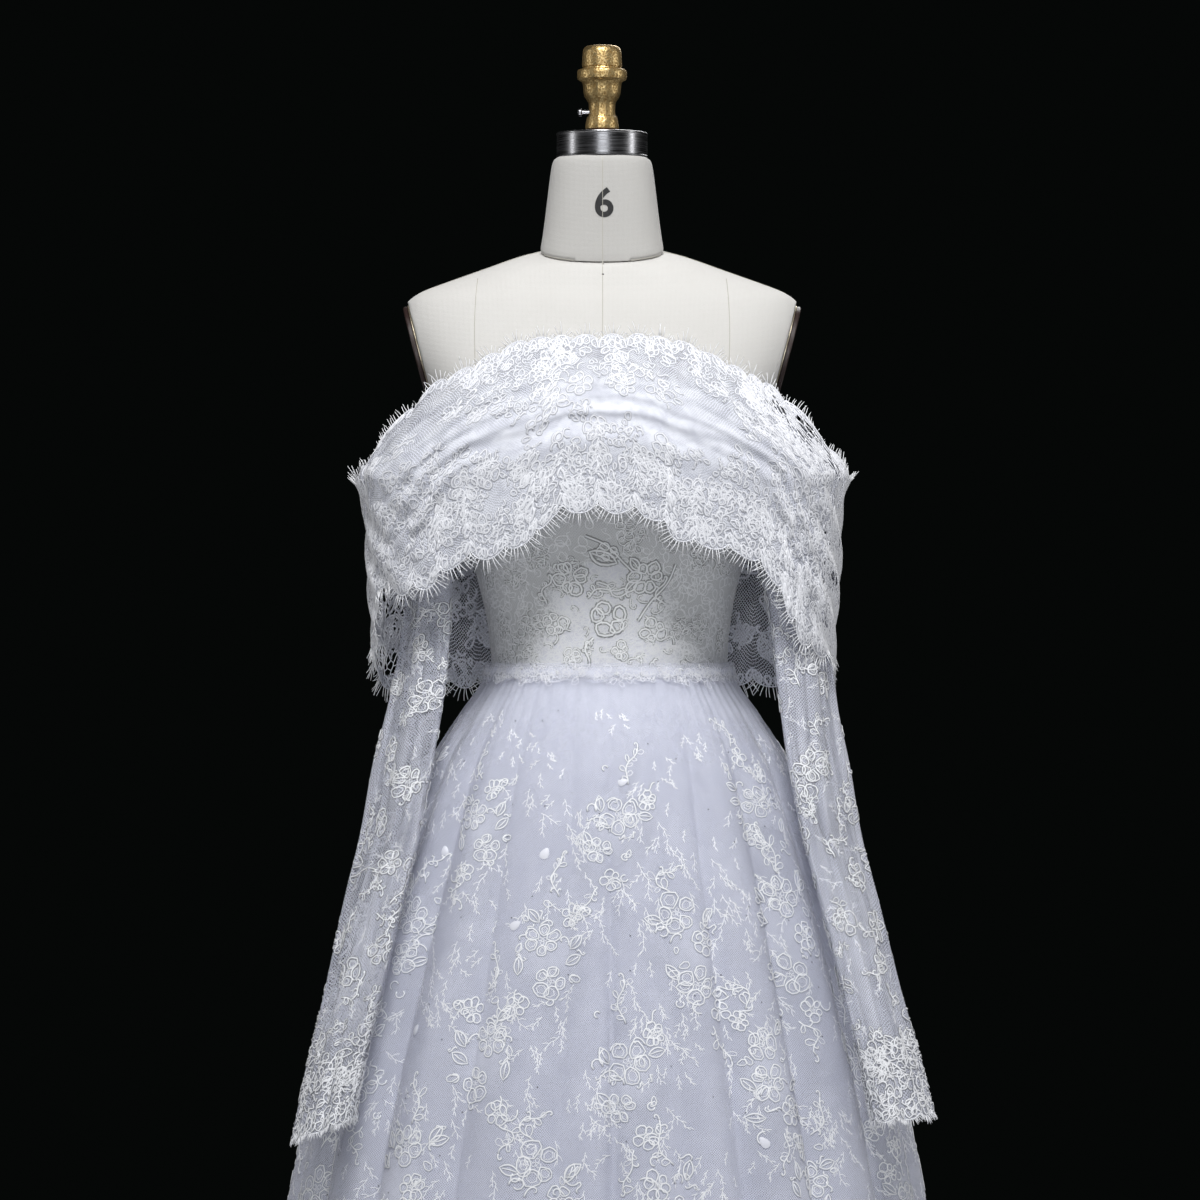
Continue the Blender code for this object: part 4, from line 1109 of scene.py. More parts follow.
# ---------------------------------------------------------------- finishes


def add_node(tree, kind, inputs=None, **settings):
    """A node with its settings, whose inputs are values or the outputs of other nodes."""
    node = tree.nodes.new(kind)
    for name, value in settings.items():
        setattr(node, name, value)
    for name, value in (inputs or {}).items():
        socket = node.inputs[name]
        if isinstance(value, bpy.types.NodeSocket):
            tree.links.new(value, socket)
        else:
            socket.default_value = value
    return node


def maths(tree, operation, a, b=0.0, clamp=False):
    return add_node(tree, "ShaderNodeMath", {0: a, 1: b}, operation=operation, use_clamp=clamp).outputs[0]


def fade_between(tree, value, low, high, start=0.0, end=1.0):
    node = add_node(
        tree,
        "ShaderNodeMapRange",
        {"Value": value, "From Min": low, "From Max": high, "To Min": start, "To Max": end},
        interpolation_type="SMOOTHSTEP",
    )
    return node.outputs["Result"]


def mix_colours(tree, share, first, second):
    node = add_node(tree, "ShaderNodeMix", data_type="RGBA")
    for socket, value in ((node.inputs[0], share), (node.inputs[6], first), (node.inputs[7], second)):
        if isinstance(value, bpy.types.NodeSocket):
            tree.links.new(value, socket)
        else:
            socket.default_value = value if isinstance(value, float) else (*value, 1.0)
    return node.outputs[2]


def new_group(name, inputs, outputs):
    group = bpy.data.node_groups.new(name, "ShaderNodeTree")
    for label, kind, value in inputs:
        socket = group.interface.new_socket(label, in_out="INPUT", socket_type=kind)
        if value is not None:
            socket.default_value = value
    for label, kind in outputs:
        group.interface.new_socket(label, in_out="OUTPUT", socket_type=kind)
    return group, group.nodes.new("NodeGroupInput"), group.nodes.new("NodeGroupOutput")


def make_net_group():
    """The mesh ground of lace: threads round small uneven cells."""
    group, given, made = new_group(
        "Net ground",
        [
            ("Cloth", "NodeSocketVector", None),
            ("Pitch", "NodeSocketFloat", 0.002),
            ("Thread", "NodeSocketFloat", 0.2),
            ("Run", "NodeSocketFloat", 1.0),
        ],
        [("Threads", "NodeSocketFloat"), ("Tone", "NodeSocketFloat")],
    )
    scale = maths(group, "DIVIDE", 1.0, given.outputs["Pitch"])
    bias = add_node(
        group,
        "ShaderNodeVectorRotate",
        {"Vector": given.outputs["Cloth"], "Angle": math.radians(47)},
        rotation_type="Z_AXIS",
    )
    cells = add_node(
        group,
        "ShaderNodeTexVoronoi",
        {"Vector": bias.outputs["Vector"], "Scale": scale, "Randomness": 0.45},
        voronoi_dimensions="2D",
        feature="DISTANCE_TO_EDGE",
    )
    wide = maths(group, "MULTIPLY", given.outputs["Thread"], 1.5)
    threads = fade_between(group, cells.outputs["Distance"], given.outputs["Thread"], wide, 1.0, 0.0)
    group.links.new(threads, made.inputs["Threads"])
    run = add_node(group, "ShaderNodeCombineXYZ", {"X": 1.0, "Y": given.outputs["Run"], "Z": 1.0})
    drawn = add_node(
        group, "ShaderNodeVectorMath", {0: given.outputs["Cloth"], 1: run.outputs["Vector"]}, operation="MULTIPLY"
    )
    clouds = add_node(
        group,
        "ShaderNodeTexNoise",
        {"Vector": drawn.outputs["Vector"], "Scale": 55.0, "Detail": 3.0, "Roughness": 0.6},
    )
    group.links.new(clouds.outputs["Fac"], made.inputs["Tone"])
    return group


def make_grain_group():
    """Fine thread grain and slow clouding for woven or spun surfaces."""
    group, given, made = new_group(
        "Thread grain",
        [("Place", "NodeSocketVector", None), ("Scale", "NodeSocketFloat", 900.0)],
        [("Height", "NodeSocketFloat"), ("Clouds", "NodeSocketFloat")],
    )
    fine = add_node(
        group,
        "ShaderNodeTexNoise",
        {"Vector": given.outputs["Place"], "Scale": given.outputs["Scale"], "Detail": 2.0},
    )
    group.links.new(fine.outputs["Fac"], made.inputs["Height"])
    broad = add_node(
        group,
        "ShaderNodeTexNoise",
        {"Vector": given.outputs["Place"], "Scale": 14.0, "Detail": 4.0, "Roughness": 0.55},
    )
    group.links.new(broad.outputs["Fac"], made.inputs["Clouds"])
    return group


NET_GROUND = make_net_group()
THREAD_GRAIN = make_grain_group()


def new_finish(name, colour, roughness, metallic=0.0, **constants):
    """A material, its node tree and its shader."""
    material = bpy.data.materials.new(name)
    material.use_nodes = True
    tree = material.node_tree
    shader = tree.nodes["Principled BSDF"]
    shader.inputs["Base Color"].default_value = (*colour, 1.0)
    shader.inputs["Roughness"].default_value = roughness
    shader.inputs["Metallic"].default_value = metallic
    for label, value in constants.items():
        shader.inputs[label.replace("_", " ")].default_value = value
    return material, tree, shader


def bump(tree, shader, height, distance, strength=1.0):
    node = add_node(tree, "ShaderNodeBump", {"Height": height, "Distance": distance, "Strength": strength})
    tree.links.new(node.outputs["Normal"], shader.inputs["Normal"])


def net_ground(tree, pitch, thread, run=1.0):
    """The threads and the tone of a net, and how close its weave is."""
    cloth = add_node(tree, "ShaderNodeUVMap", uv_map="cloth").outputs["UV"]
    net = add_node(tree, "ShaderNodeGroup", node_tree=NET_GROUND)
    tree.links.new(cloth, net.inputs["Cloth"])
    for label, value in (("Pitch", pitch), ("Thread", thread), ("Run", run)):
        net.inputs[label].default_value = value
    cover = add_node(tree, "ShaderNodeAttribute", attribute_name="cover").outputs["Fac"]
    return net.outputs["Threads"], net.outputs["Tone"], cover


def thread_grain(tree, scale=900.0):
    """Places on a piece, and the thread grain there."""
    place = add_node(tree, "ShaderNodeTexCoord").outputs["Object"]
    grain = add_node(tree, "ShaderNodeGroup", node_tree=THREAD_GRAIN)
    tree.links.new(place, grain.inputs["Place"])
    grain.inputs["Scale"].default_value = scale
    return place, grain


def lace_finish(name, pitch, thread, sheer, white, shade, clouds=0.10, run=1.0, relief=0.6):
    """Net ground that closes up where the weave is close; `sheer` is its least cover."""
    material, tree, shader = new_finish(name, white, 0.80, Sheen_Weight=0.25, Sheen_Roughness=0.5)
    threads, tone, cover = net_ground(tree, pitch, thread, run)
    threads = maths(tree, "MULTIPLY", threads, fade_between(tree, cover, -0.35, -0.15))
    cloudy = fade_between(tree, tone, 0.35, 0.65, -clouds, clouds)
    ground = maths(tree, "ADD", maths(tree, "ADD", cover, sheer), cloudy)
    open_part = maths(tree, "SUBTRACT", 1.0, ground, clamp=True)
    alpha = maths(tree, "ADD", ground, maths(tree, "MULTIPLY", open_part, threads), clamp=True)
    tree.links.new(alpha, shader.inputs["Alpha"])
    colour = mix_colours(tree, fade_between(tree, tone, 0.3, 0.7), shade, white)
    tree.links.new(colour, shader.inputs["Base Color"])
    bump(tree, shader, threads, 0.0004, relief)
    return material


def cord_finish(name, colour, foot):
    """Spun cord, with a painted shadow in a darker colour at its foot, along both sides of the cord."""
    material, tree, shader = new_finish(name, colour, 0.62, Sheen_Weight=0.3)
    _, grain = thread_grain(tree, 1400.0)
    darker = tuple(c * 0.93 for c in colour)
    spun = mix_colours(tree, grain.outputs["Clouds"], darker, colour)
    ridge = add_node(tree, "ShaderNodeAttribute", attribute_name="ridge").outputs["Fac"]
    ridge = fade_between(tree, ridge, 0.48, 0.72)
    # The foot takes the painted shadow colour and the ridge keeps the cord colour.
    tree.links.new(mix_colours(tree, ridge, foot, spun), shader.inputs["Base Color"])
    bump(tree, shader, grain.outputs["Height"], 0.0002, 0.5)
    return material


def satin_finish(name, colour, shade, roughness):
    material, tree, shader = new_finish(name, colour, roughness, Sheen_Weight=0.2)
    _, grain = thread_grain(tree)
    tree.links.new(mix_colours(tree, grain.outputs["Clouds"], shade, colour), shader.inputs["Base Color"])
    bump(tree, shader, grain.outputs["Height"], 0.0001, 0.3)
    return material


def bodice_finish():
    """Fine net over satin: grey and thin at the sides, white and close on the centre panel. The grey of the sides is
    partly painted shadow of the cape, and the panel's brightness is partly painted light.
    """
    material, tree, shader = new_finish("bodice_lace", (0.5, 0.5, 0.5), 0.75, Sheen_Weight=0.2)
    threads, tone, cover = net_ground(tree, 0.0019, 0.13)
    thin = mix_colours(tree, threads, (0.56, 0.57, 0.57), (0.71, 0.72, 0.74))
    close = mix_colours(tree, fade_between(tree, tone, 0.3, 0.7), (0.79, 0.80, 0.85), (0.86, 0.87, 0.93))
    tree.links.new(mix_colours(tree, cover, thin, close), shader.inputs["Base Color"])
    bump(tree, shader, threads, 0.0004, 0.5)
    return material


LINEN = ((0.590, 0.575, 0.550), (0.660, 0.648, 0.625), (0.73, 0.72, 0.70))


def linen_finish(name, tone):
    material, tree, shader = new_finish(name, (0.6, 0.6, 0.6), 0.88, Sheen_Weight=0.15)
    place, grain = thread_grain(tree, 700.0)
    weave = []
    for axis in ("X", "Z"):
        wave = add_node(
            tree,
            "ShaderNodeTexWave",
            {"Vector": place, "Scale": 260.0, "Distortion": 1.2, "Detail": 1.0, "Detail Scale": 2.0},
            wave_type="BANDS",
            bands_direction=axis,
        )
        weave.append(wave.outputs["Fac"])
    woven = maths(tree, "ADD", maths(tree, "MULTIPLY", weave[0], 0.5), maths(tree, "MULTIPLY", weave[1], 0.5))
    height = maths(tree, "ADD", woven, grain.outputs["Height"])
    dark, light, worn = ([c * tone for c in colour] for colour in LINEN)
    clouds = mix_colours(tree, grain.outputs["Clouds"], dark, light)
    fleck = fade_between(tree, woven, 0.2, 0.9)
    colour = mix_colours(tree, maths(tree, "MULTIPLY", fleck, 0.30), clouds, worn)
    tree.links.new(colour, shader.inputs["Base Color"])
    bump(tree, shader, height, 0.0004, 0.5)
    return material


def brushed_finish(name, colour, roughness, around):
    """Metal with fine marks that run round its axis, or along it."""
    material, tree, shader = new_finish(name, colour, roughness, 1.0)
    place = add_node(tree, "ShaderNodeTexCoord").outputs["Object"]
    stretch = (30.0, 30.0, 2400.0) if around else (1800.0, 1800.0, 30.0)
    marks = add_node(tree, "ShaderNodeMapping", {"Vector": place, "Scale": stretch})
    noise = add_node(tree, "ShaderNodeTexNoise", {"Vector": marks.outputs["Vector"], "Scale": 1.0, "Detail": 3.0})
    rough = fade_between(tree, noise.outputs["Fac"], 0.3, 0.7, roughness * 0.75, roughness * 1.35)
    tree.links.new(rough, shader.inputs["Roughness"])
    bump(tree, shader, noise.outputs["Fac"], 0.00006, 0.5)
    return material


def hammered_finish():
    material, tree, shader = new_finish("hammered_gold", (0.50, 0.36, 0.16), 0.46, 1.0)
    place = add_node(tree, "ShaderNodeTexCoord").outputs["Object"]
    dents = add_node(
        tree, "ShaderNodeTexVoronoi", {"Vector": place, "Scale": 520.0, "Randomness": 1.0}, feature="SMOOTH_F1"
    )
    grain = add_node(tree, "ShaderNodeTexNoise", {"Vector": place, "Scale": 520.0, "Detail": 4.0})
    height = maths(tree, "ADD", dents.outputs["Distance"], maths(tree, "MULTIPLY", grain.outputs["Fac"], 0.5))
    tone = fade_between(tree, height, 0.35, 0.95)
    colour = mix_colours(tree, tone, (0.30, 0.19, 0.07), (0.62, 0.46, 0.22))
    tree.links.new(colour, shader.inputs["Base Color"])
    tree.links.new(fade_between(tree, height, 0.3, 0.9, 0.62, 0.40), shader.inputs["Roughness"])
    bump(tree, shader, height, 0.0004, 0.8)
    return material


def plain_finish(name, colour, roughness, metallic=0.0, scale=300.0):
    material, tree, shader = new_finish(name, colour, roughness, metallic)
    place = add_node(tree, "ShaderNodeTexCoord").outputs["Object"]
    noise = add_node(tree, "ShaderNodeTexNoise", {"Vector": place, "Scale": scale, "Detail": 4.0})
    darker = tuple(c * 0.8 for c in colour)
    tree.links.new(mix_colours(tree, noise.outputs["Fac"], darker, colour), shader.inputs["Base Color"])
    tree.links.new(
        fade_between(tree, noise.outputs["Fac"], 0.3, 0.7, roughness * 0.8, roughness * 1.2),
        shader.inputs["Roughness"],
    )
    bump(tree, shader, noise.outputs["Fac"], 0.0002, 0.3)
    return material


WHITE = (0.80, 0.82, 0.93)
SHADE = (0.67, 0.69, 0.80)
FINISH = {
    "cape": lace_finish("cape_lace", 0.0021, 0.10, 0.06, (0.90, 0.92, 1.0), (0.77, 0.79, 0.89)),
    "overskirt": lace_finish(
        "overskirt_lace", 0.0017, 0.10, 0.24, (0.73, 0.75, 0.86), (0.69, 0.71, 0.82), 0.03, 1.0, 0.15
    ),
    "sleeve": lace_finish("sleeve_lace", 0.0024, 0.085, 0.02, WHITE, SHADE, 0.14, 0.08),
    "trim": lace_finish("trim_lace", 0.0020, 0.08, 0.0, WHITE, SHADE),
    # The last colour of each cord finish is the painted shadow at the foot of its cords.
    "cord": cord_finish("lace_cord", (0.96, 0.97, 1.0), (0.40, 0.42, 0.50)),
    "sleeve_cord": cord_finish("sleeve_cord", (0.95, 0.96, 1.0), (0.22, 0.23, 0.26)),
    "cape_cord": cord_finish("cape_cord", (0.90, 0.91, 0.96), (0.46, 0.47, 0.52)),
    "bodice_cord": cord_finish("bodice_cord", (0.97, 0.98, 1.0), (0.28, 0.29, 0.29)),
    "satin": satin_finish("lining_satin", (0.60, 0.62, 0.76), (0.57, 0.59, 0.73), 0.42),
    "bodice": bodice_finish(),
    "petal": satin_finish("petal_satin", (0.84, 0.85, 0.93), (0.78, 0.79, 0.87), 0.45),
    "sequin": plain_finish("sequins", (0.22, 0.23, 0.27), 0.25, 0.6, 2000.0),
    "linen": linen_finish("linen", 1.0),
    # The neck's linen is a fifth darker than the torso's: painted shade on the upright neck.
    "shaded_neck_linen": linen_finish("shaded_neck_linen", 0.80),
    "seam": plain_finish("seam_thread", (0.50, 0.48, 0.43), 0.9, scale=900.0),
    "ink": plain_finish("black_print", (0.012, 0.012, 0.013), 0.6),
    "steel": brushed_finish("brushed_steel", (0.24, 0.24, 0.25), 0.27, True),
    "pole": brushed_finish("pole_steel", (0.60, 0.61, 0.63), 0.20, True),
    "gold": hammered_finish(),
    "brass": brushed_finish("edge_brass", (0.78, 0.70, 0.54), 0.35, True),
    "plate": plain_finish("dark_lacquer", (0.030, 0.016, 0.014), 0.40),
    "fibre": plain_finish("fibre", (0.10, 0.03, 0.025), 0.6),
    "iron": plain_finish("dark_iron", (0.045, 0.045, 0.048), 0.45, 0.5, 220.0),
}


def finish_piece(thing, finish, body, slot, *nodes):
    thing.data.materials.clear()
    thing.data.materials.append(FINISH[finish])
    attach(thing, body)
    if nodes:
        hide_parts(*nodes)
    return thing


# ---------------------------------------------------------------- skirt

skirt = Cloth(overskirt_points, SKIRT_HEM, WAIST_SEAM + 0.004, 528, 64)
skirt_cords = {"front": Cording(skirt), "back": Cording(skirt)}


def skirt_side(angle):
    return "front" if abs(from_front(angle)) < 90 else "back"


skirt.cover[:] = 0.02 + 0.10 * bell(skirt.v, WAIST_SEAM, 0.05)
SPRAY_ROWS = (
    (0.945, 0.140),
    (0.830, 0.140),
    (0.705, 0.142),
    (0.580, 0.145),
    (0.450, 0.165),
    (0.320, 0.165),
    (0.190, 0.165),
    (0.080, 0.165),
)
for row, (height, spacing) in enumerate(SPRAY_ROWS):
    ring_length = 2 * math.pi * float(along(OVERSKIRT, height, 1))
    count = max(6, round(ring_length / spacing))
    upper = height > 0.5
    for k in range(count):
        angle = 360 * (k + 0.5 * (row % 2) + random.uniform(-0.16, 0.16)) / count
        place = height + random.uniform(-0.022, 0.022)
        turn = random.uniform(-0.35, 0.35)
        size = random.uniform(0.92, 1.12) * (0.82 if row == 0 else 1.0)
        cords = skirt_cords[skirt_side(angle)]
        cords.lay(pick(SPRAYS if upper else HEM_SPRAYS), angle, place, turn, size, bool(random.integers(2)))
        skirt.thicken(angle, place, 0.030 * size, 0.30)
        for patch in range(3 if upper else 1):
            aside = angle + 360 * (0.5 + random.uniform(-0.28, 0.28)) / count
            above = place + random.uniform(-0.07, 0.07)
            skirt_cords[skirt_side(aside)].lay(
                pick(FERNS), aside, above, random.uniform(-0.4, 0.4), random.uniform(0.9, 1.2)
            )
            skirt.thicken(aside, above, 0.022, 0.12)
for k in range(24):
    angle = 360 * (k + random.uniform(-0.4, 0.4)) / 24
    cords = skirt_cords[skirt_side(angle)]
    height = WAIST_SEAM - random.uniform(0.024, 0.085)
    cords.lay(pick(FERNS), angle, height, random.uniform(-0.3, 0.3), random.uniform(0.6, 0.9))
for side, first in (("front", -90), ("back", 90)):
    for height, radius in ((SKIRT_HEM + 0.0012, 0.0009), (SKIRT_HEM + 0.010, 0.0006)):
        u = np.linspace(first, first + 180, 420)
        skirt_cords[side].line(u, np.full_like(u, height), radius)

for side, first, node in (("front", -90, "overskirt_front"), ("back", 90, "overskirt_back")):
    sheet = cloth_sheet("overskirt_lace_" + side, skirt, first, first + 180)
    finish_piece(sheet, "overskirt", GOWN, "lace", node)
    cords = finish_piece(skirt_cords[side].mesh("overskirt_cording_" + side), "cord", GOWN, "lace")

lining_cloth = Cloth(lining_points, 0.014, WAIST_SEAM, 120, 40)
lining = cloth_sheet("skirt_lining", lining_cloth, -90, 270)
finish_piece(
    lining, "satin", GOWN, "satin", *["skirt_lining_gore_%d" % (k + 1) for k in range(6)]
)


def raised_spots(name, cloth, places, finish, sides, body=GOWN):
    """Small domed spots sewn on a cloth: places of (u, v, length, width, turn, height)."""
    points, triangles, quads = [], [], []
    around = 2 * np.pi * np.arange(sides) / sides
    for number, (u, v, length, width, turn, height) in enumerate(places):
        c, s = math.cos(turn), math.sin(turn)
        x, y, lift = [0.0], [0.0], [height]
        for share, rise in ((0.62, 0.75), (1.0, 0.1)):
            a = length / 2 * share * np.cos(around)
            b = width / 2 * share * np.sin(around) * (1 - 0.35 * np.cos(around))
            x = np.concatenate((x, a * c - b * s))
            y = np.concatenate((y, a * s + b * c))
            lift = np.concatenate((lift, np.full(sides, height * rise)))
        wide, down = cloth.metres(u, v)
        spots, normals = cloth.find(u + x / wide, v + cloth.up * y / down)
        points.append(spots + normals * (lift[:, None] + 0.0006))
        first = number * (2 * sides + 1)
        ring = first + 1 + np.arange(sides)
        after = np.roll(ring, -1)
        triangles.append(np.stack((np.full(sides, first), ring, after), 1))
        quads.append(np.stack((ring, ring + sides, after + sides, after), 1))
    thing, _ = mesh_object(name, np.concatenate(points), [np.concatenate(quads), np.concatenate(triangles)])
    return finish_piece(thing, finish, body, "satin")


def spot_places(cloth, spots, height):
    """Places on a cloth's front from rows of (x, z, length, width, turn)."""
    u, v = cloth.nearest_front([s[0] for s in spots], [s[1] for s in spots])
    return [(a, b, *s[2:], height) for a, b, s in zip(u, v, spots)]


SATIN_PETALS = (
    (-0.054, 0.897, 0.012, 0.0085, 1.2),
    (-0.080, 0.845, 0.012, 0.0085, 0.6),
    (-0.148, 0.911, 0.010, 0.0070, 1.9),
    (0.020, 0.977, 0.010, 0.0070, 0.4),
    (-0.174, 0.736, 0.012, 0.0085, 1.0),
    (0.150, 0.641, 0.012, 0.0085, 2.2),
)
petal_places = spot_places(skirt, SATIN_PETALS, 0.0010)
for k in range(20):
    petal_places.append(
        (110 + 8 * k + random.uniform(-3, 3), random.uniform(0.15, 0.95), 0.012, 0.0085, random.uniform(0, 6), 0.0010)
    )
raised_spots("satin_petals", skirt, petal_places, "petal", 12)
sequin_places = [
    (random.uniform(-90, 270), SKIRT_HEM + 0.01 + 1.02 * random.random(), 0.0016, 0.0016, 0, 0.0004)
    for k in range(420)
]
raised_spots("sequins", skirt, sequin_places, "sequin", 6)

# ---------------------------------------------------------------- bodice

bodice_cloth = Cloth(bodice_points, 0.0, 1.0, 240, 44)

# The bright panel at the centre front: height, half width. Its arched top stands where the cape's shadow ends, so the
# panel is partly painted light.
PANEL = (
    (1.078, 0.084),
    (1.096, 0.070),
    (1.120, 0.060),
    (1.145, 0.058),
    (1.166, 0.048),
    (1.178, 0.028),
    (1.188, -0.010),
)
PANEL_MIDDLE = 0.006
x, z = bodice_cloth.points[..., 0] - PANEL_MIDDLE, bodice_cloth.points[..., 2]
half = straight(PANEL, z, 1) + 0.005 * np.sin(z * 130 + 3 * np.sign(x))
inside = np.clip((half - np.abs(x)) / 0.016, 0, 1)
inside = inside * (bodice_cloth.points[..., 1] < 0) * (z < 1.210)
# This cover sets the bodice's colour: white and close on the panel, grey at the sides, which is partly painted shade.
bodice_cloth.cover[:] = np.maximum(inside, 0.85 * bell(z, 1.068, 0.012))
bodice_cords = Cording(bodice_cloth)


def on_panel(u, v):
    """Whether places of the bodice lie on its bright panel."""
    place, _ = bodice_cloth.find(np.array([u]), np.array([v]))
    x, y, z = place[0]
    return y < 0 and z < 1.200 and abs(x - PANEL_MIDDLE) < straight(PANEL, z, 1)


def off_panel(u, v):
    return not on_panel(u, v)


bodice_cords.scatter(SIDE_CURLS, -90, 90, 0.03, 0.72, 0.034, wanted=off_panel)
bodice_cords.scatter(FINE_TANGLES, -40, 40, 0.02, 0.50, 0.0165, sizes=(0.7, 1.0), wanted=on_panel)
bodice_cords.scatter(HOOKS, -40, 40, 0.02, 0.46, 0.0210, sizes=(0.8, 1.2), wanted=on_panel)
bodice_cords.scatter(TANGLES, -64, 64, 0.02, 0.70, 0.058, sizes=(0.6, 0.8), wanted=off_panel)
bodice_cords.scatter(FLOWERS, 95, 265, 0.06, 0.90, 0.046)

BOLD = 1.35


def lay_bold(strokes, x, z, turn, size=1.0):
    """Sews strokes in a thicker cord on the front of the bodice."""
    thicker = [(p, radius * BOLD if radius > RIBBON else radius, closed) for p, radius, closed in strokes]
    u, v = bodice_cloth.nearest_front(x, z)
    bodice_cords.lay(Motif(thicker), u[0], v[0], turn, size)


# Flowers of the panel: x, height, size, petals
for x, z, size, petals in (
    (-0.030, 1.163, 1.35, 7),
    (0.043, 1.165, 1.25, 6),
    (0.004, 1.124, 1.35, 5),
    (0.048, 1.112, 0.95, 5),
    (-0.046, 1.118, 0.90, 5),
    (0.004, 1.186, 0.70, 5),
    (0.018, 1.092, 0.70, 5),
    (-0.030, 1.090, 0.70, 5),
):
    lay_bold(flower(random, 0.0135, petals, 2), x, z, random.uniform(0, 6), size)
# Its vines: x, height, turn
for x, z, turn in (
    (-0.052, 1.140, 1.2),
    (0.060, 1.140, 1.9),
    (-0.012, 1.145, 0.3),
    (0.026, 1.148, 2.8),
    (-0.010, 1.106, 4.4),
):
    lay_bold(vine(random, 0.030, 3), x, z, turn)
# Its leaves: x, height, turn, size
for x, z, turn, size in ((-0.010, 1.190, -0.45, 1.7), (0.028, 1.180, -0.9, 1.1), (0.024, 1.148, 0.7, 1.2)):
    lay_bold(leaf(0.014, 0.0075), x, z, turn, size)
# Its two stems, through points of x and height
for stem in (
    ((0.070, 1.176), (0.062, 1.158), (0.046, 1.140), (0.034, 1.122)),
    ((-0.016, 1.203), (0.004, 1.194), (0.020, 1.178), (0.030, 1.168)),
):
    knots = np.column_stack((range(4), np.array(stem)))
    share = np.linspace(0, 3, 22)
    u, v = bodice_cloth.place_front(along(knots, share, 1), along(knots, share, 2))
    bodice_cords.line(u, v, CORD * BOLD, foot=SHADOW_FOOT)
bodice = cloth_sheet("bodice_satin", bodice_cloth, -90, 270)
finish_piece(
    bodice,
    "bodice",
    GOWN,
    "satin",
    "bodice_front_centre",
    "bodice_front_left",
    "bodice_front_right",
    "bodice_back_left",
    "bodice_back_right",
)
bodice_cording = finish_piece(bodice_cords.mesh("bodice_cording"), "bodice_cord", GOWN, "lace")

# ---------------------------------------------------------------- waist trim

trim_cloth = Cloth(waist_trim_points, 0.0, 1.0, 360, 8)
trim_cloth.cover[:] = 1.25 * bell(trim_cloth.v, 0.74, 0.20) - 0.40
trim_cords = Cording(trim_cloth)
trim_cords.scatter(FINE_TANGLES, -90, 270, 0.60, 0.84, 0.014, sizes=(0.4, 0.7))
trim_cords.scatter(HOOKS, -90, 270, 0.66, 0.84, 0.034, sizes=(0.30, 0.45))
trim = finish_piece(cloth_sheet("waist_lace", trim_cloth, -90, 270), "trim", GOWN, "lace", "waist_trim")
trim_cording = finish_piece(trim_cords.mesh("waist_cording"), "cape_cord", GOWN, "lace")

# ---------------------------------------------------------------- cape

cape = Cloth(cape_points, 0.0, 1.0, 440, 90)
turn = from_front(cape.u)
in_front = np.abs(turn) <= 90
band = bell(cape.v, 0.48, 0.30)
cape.cover[:] = np.where(in_front, 0.12 + 0.80 * band * bell(np.abs(turn), 0, 54), -0.12)
cape.cover[:] += np.where(in_front, 0.22 * bell(cape.v, 0.95, 0.25) * bell(np.abs(turn), 0, 60), 0)
cape_cords = {"front": Cording(cape), "back": Cording(cape)}


def plain_middle(u, v):
    """How likely cords are: the draped middle of the front is plainer than its borders."""
    plain = math.exp(-(((v - 0.42) / 0.17) ** 2)) * math.exp(-((from_front(u) / 60) ** 4))
    top = math.exp(-(((v - 0.10) / 0.16) ** 2))
    return 1 - 0.78 * plain - 0.30 * top


for side, first in (("front", -90), ("back", 90)):
    cords = cape_cords[side]
    close = 0.0205 if side == "front" else 0.036
    sizes = (0.58, 0.85) if side == "front" else (0.7, 1.0)
    for part in range(4):
        low, high = first + 45 * part, first + 45 * (part + 1)
        cords.scatter(TANGLES, low, high, 0.04, 0.97, close, off=NET_ZONES[:1], sizes=sizes, wanted=plain_middle)
        cords.scatter(FLOWERS, low, high, 0.10, 0.92, 0.046, off=NET_ZONES[:1], wanted=plain_middle)
# Medallions: angle, share of the way down, size
for u, v, size in (
    (67, 0.88, 1.0),
    (-79, 0.60, 0.9),
    (80, 0.30, 0.9),
    (-72, 0.14, 0.9),
    (246, 0.78, 1.1),
    (104, 0.2, 0.9),
):
    cords = cape_cords["front" if abs(u) < 90 else "back"]
    cords.lay(MEDALLION, u, v, 0, size)
net_cords(cape_cords["front"], NET_ZONES[:3], 0.0095)
first, last, low, high = NET_ZONES[0]
cape_cords["front"].scatter(FLOWERS, first, last, low, high, 0.028, sizes=(0.75, 0.95))
net_cords(cape_cords["back"], NET_ZONES[3:], 0.0088)
for side, first in (("front", -90), ("back", 90)):
    edge_work(cape_cords[side], 1.0, -1, first, first + 180, -1)
    edge_work(cape_cords[side], 0.0, 1, first, first + 180, 1)


def fringe_piece(name, v_edge, first, away, seed, *nodes):
    """The row of lashes along half of one edge of the cape."""
    cords = Cording(cape)
    dense_u, run = edge_run(cape, v_edge, first, first + 180, 2000)
    own = np.random.default_rng(seed)
    distances = np.arange(0.002, run[-1] - 0.002, LASH_STEP)
    distances = distances + own.uniform(-0.35, 0.35, len(distances)) * LASH_STEP
    u = np.interp(distances, run, dense_u)
    length = LASH_LENGTH * np.ones(len(u))
    if away > 0:
        length = length * (0.45 + 0.55 * scallops(u, -90, FRONT_SCALLOPS) ** 6)
    eyelashes(cords, u, np.full_like(u, v_edge), away, length[:, None], own)
    return finish_piece(cords.mesh(name), "cord", GOWN, "lace", *nodes)


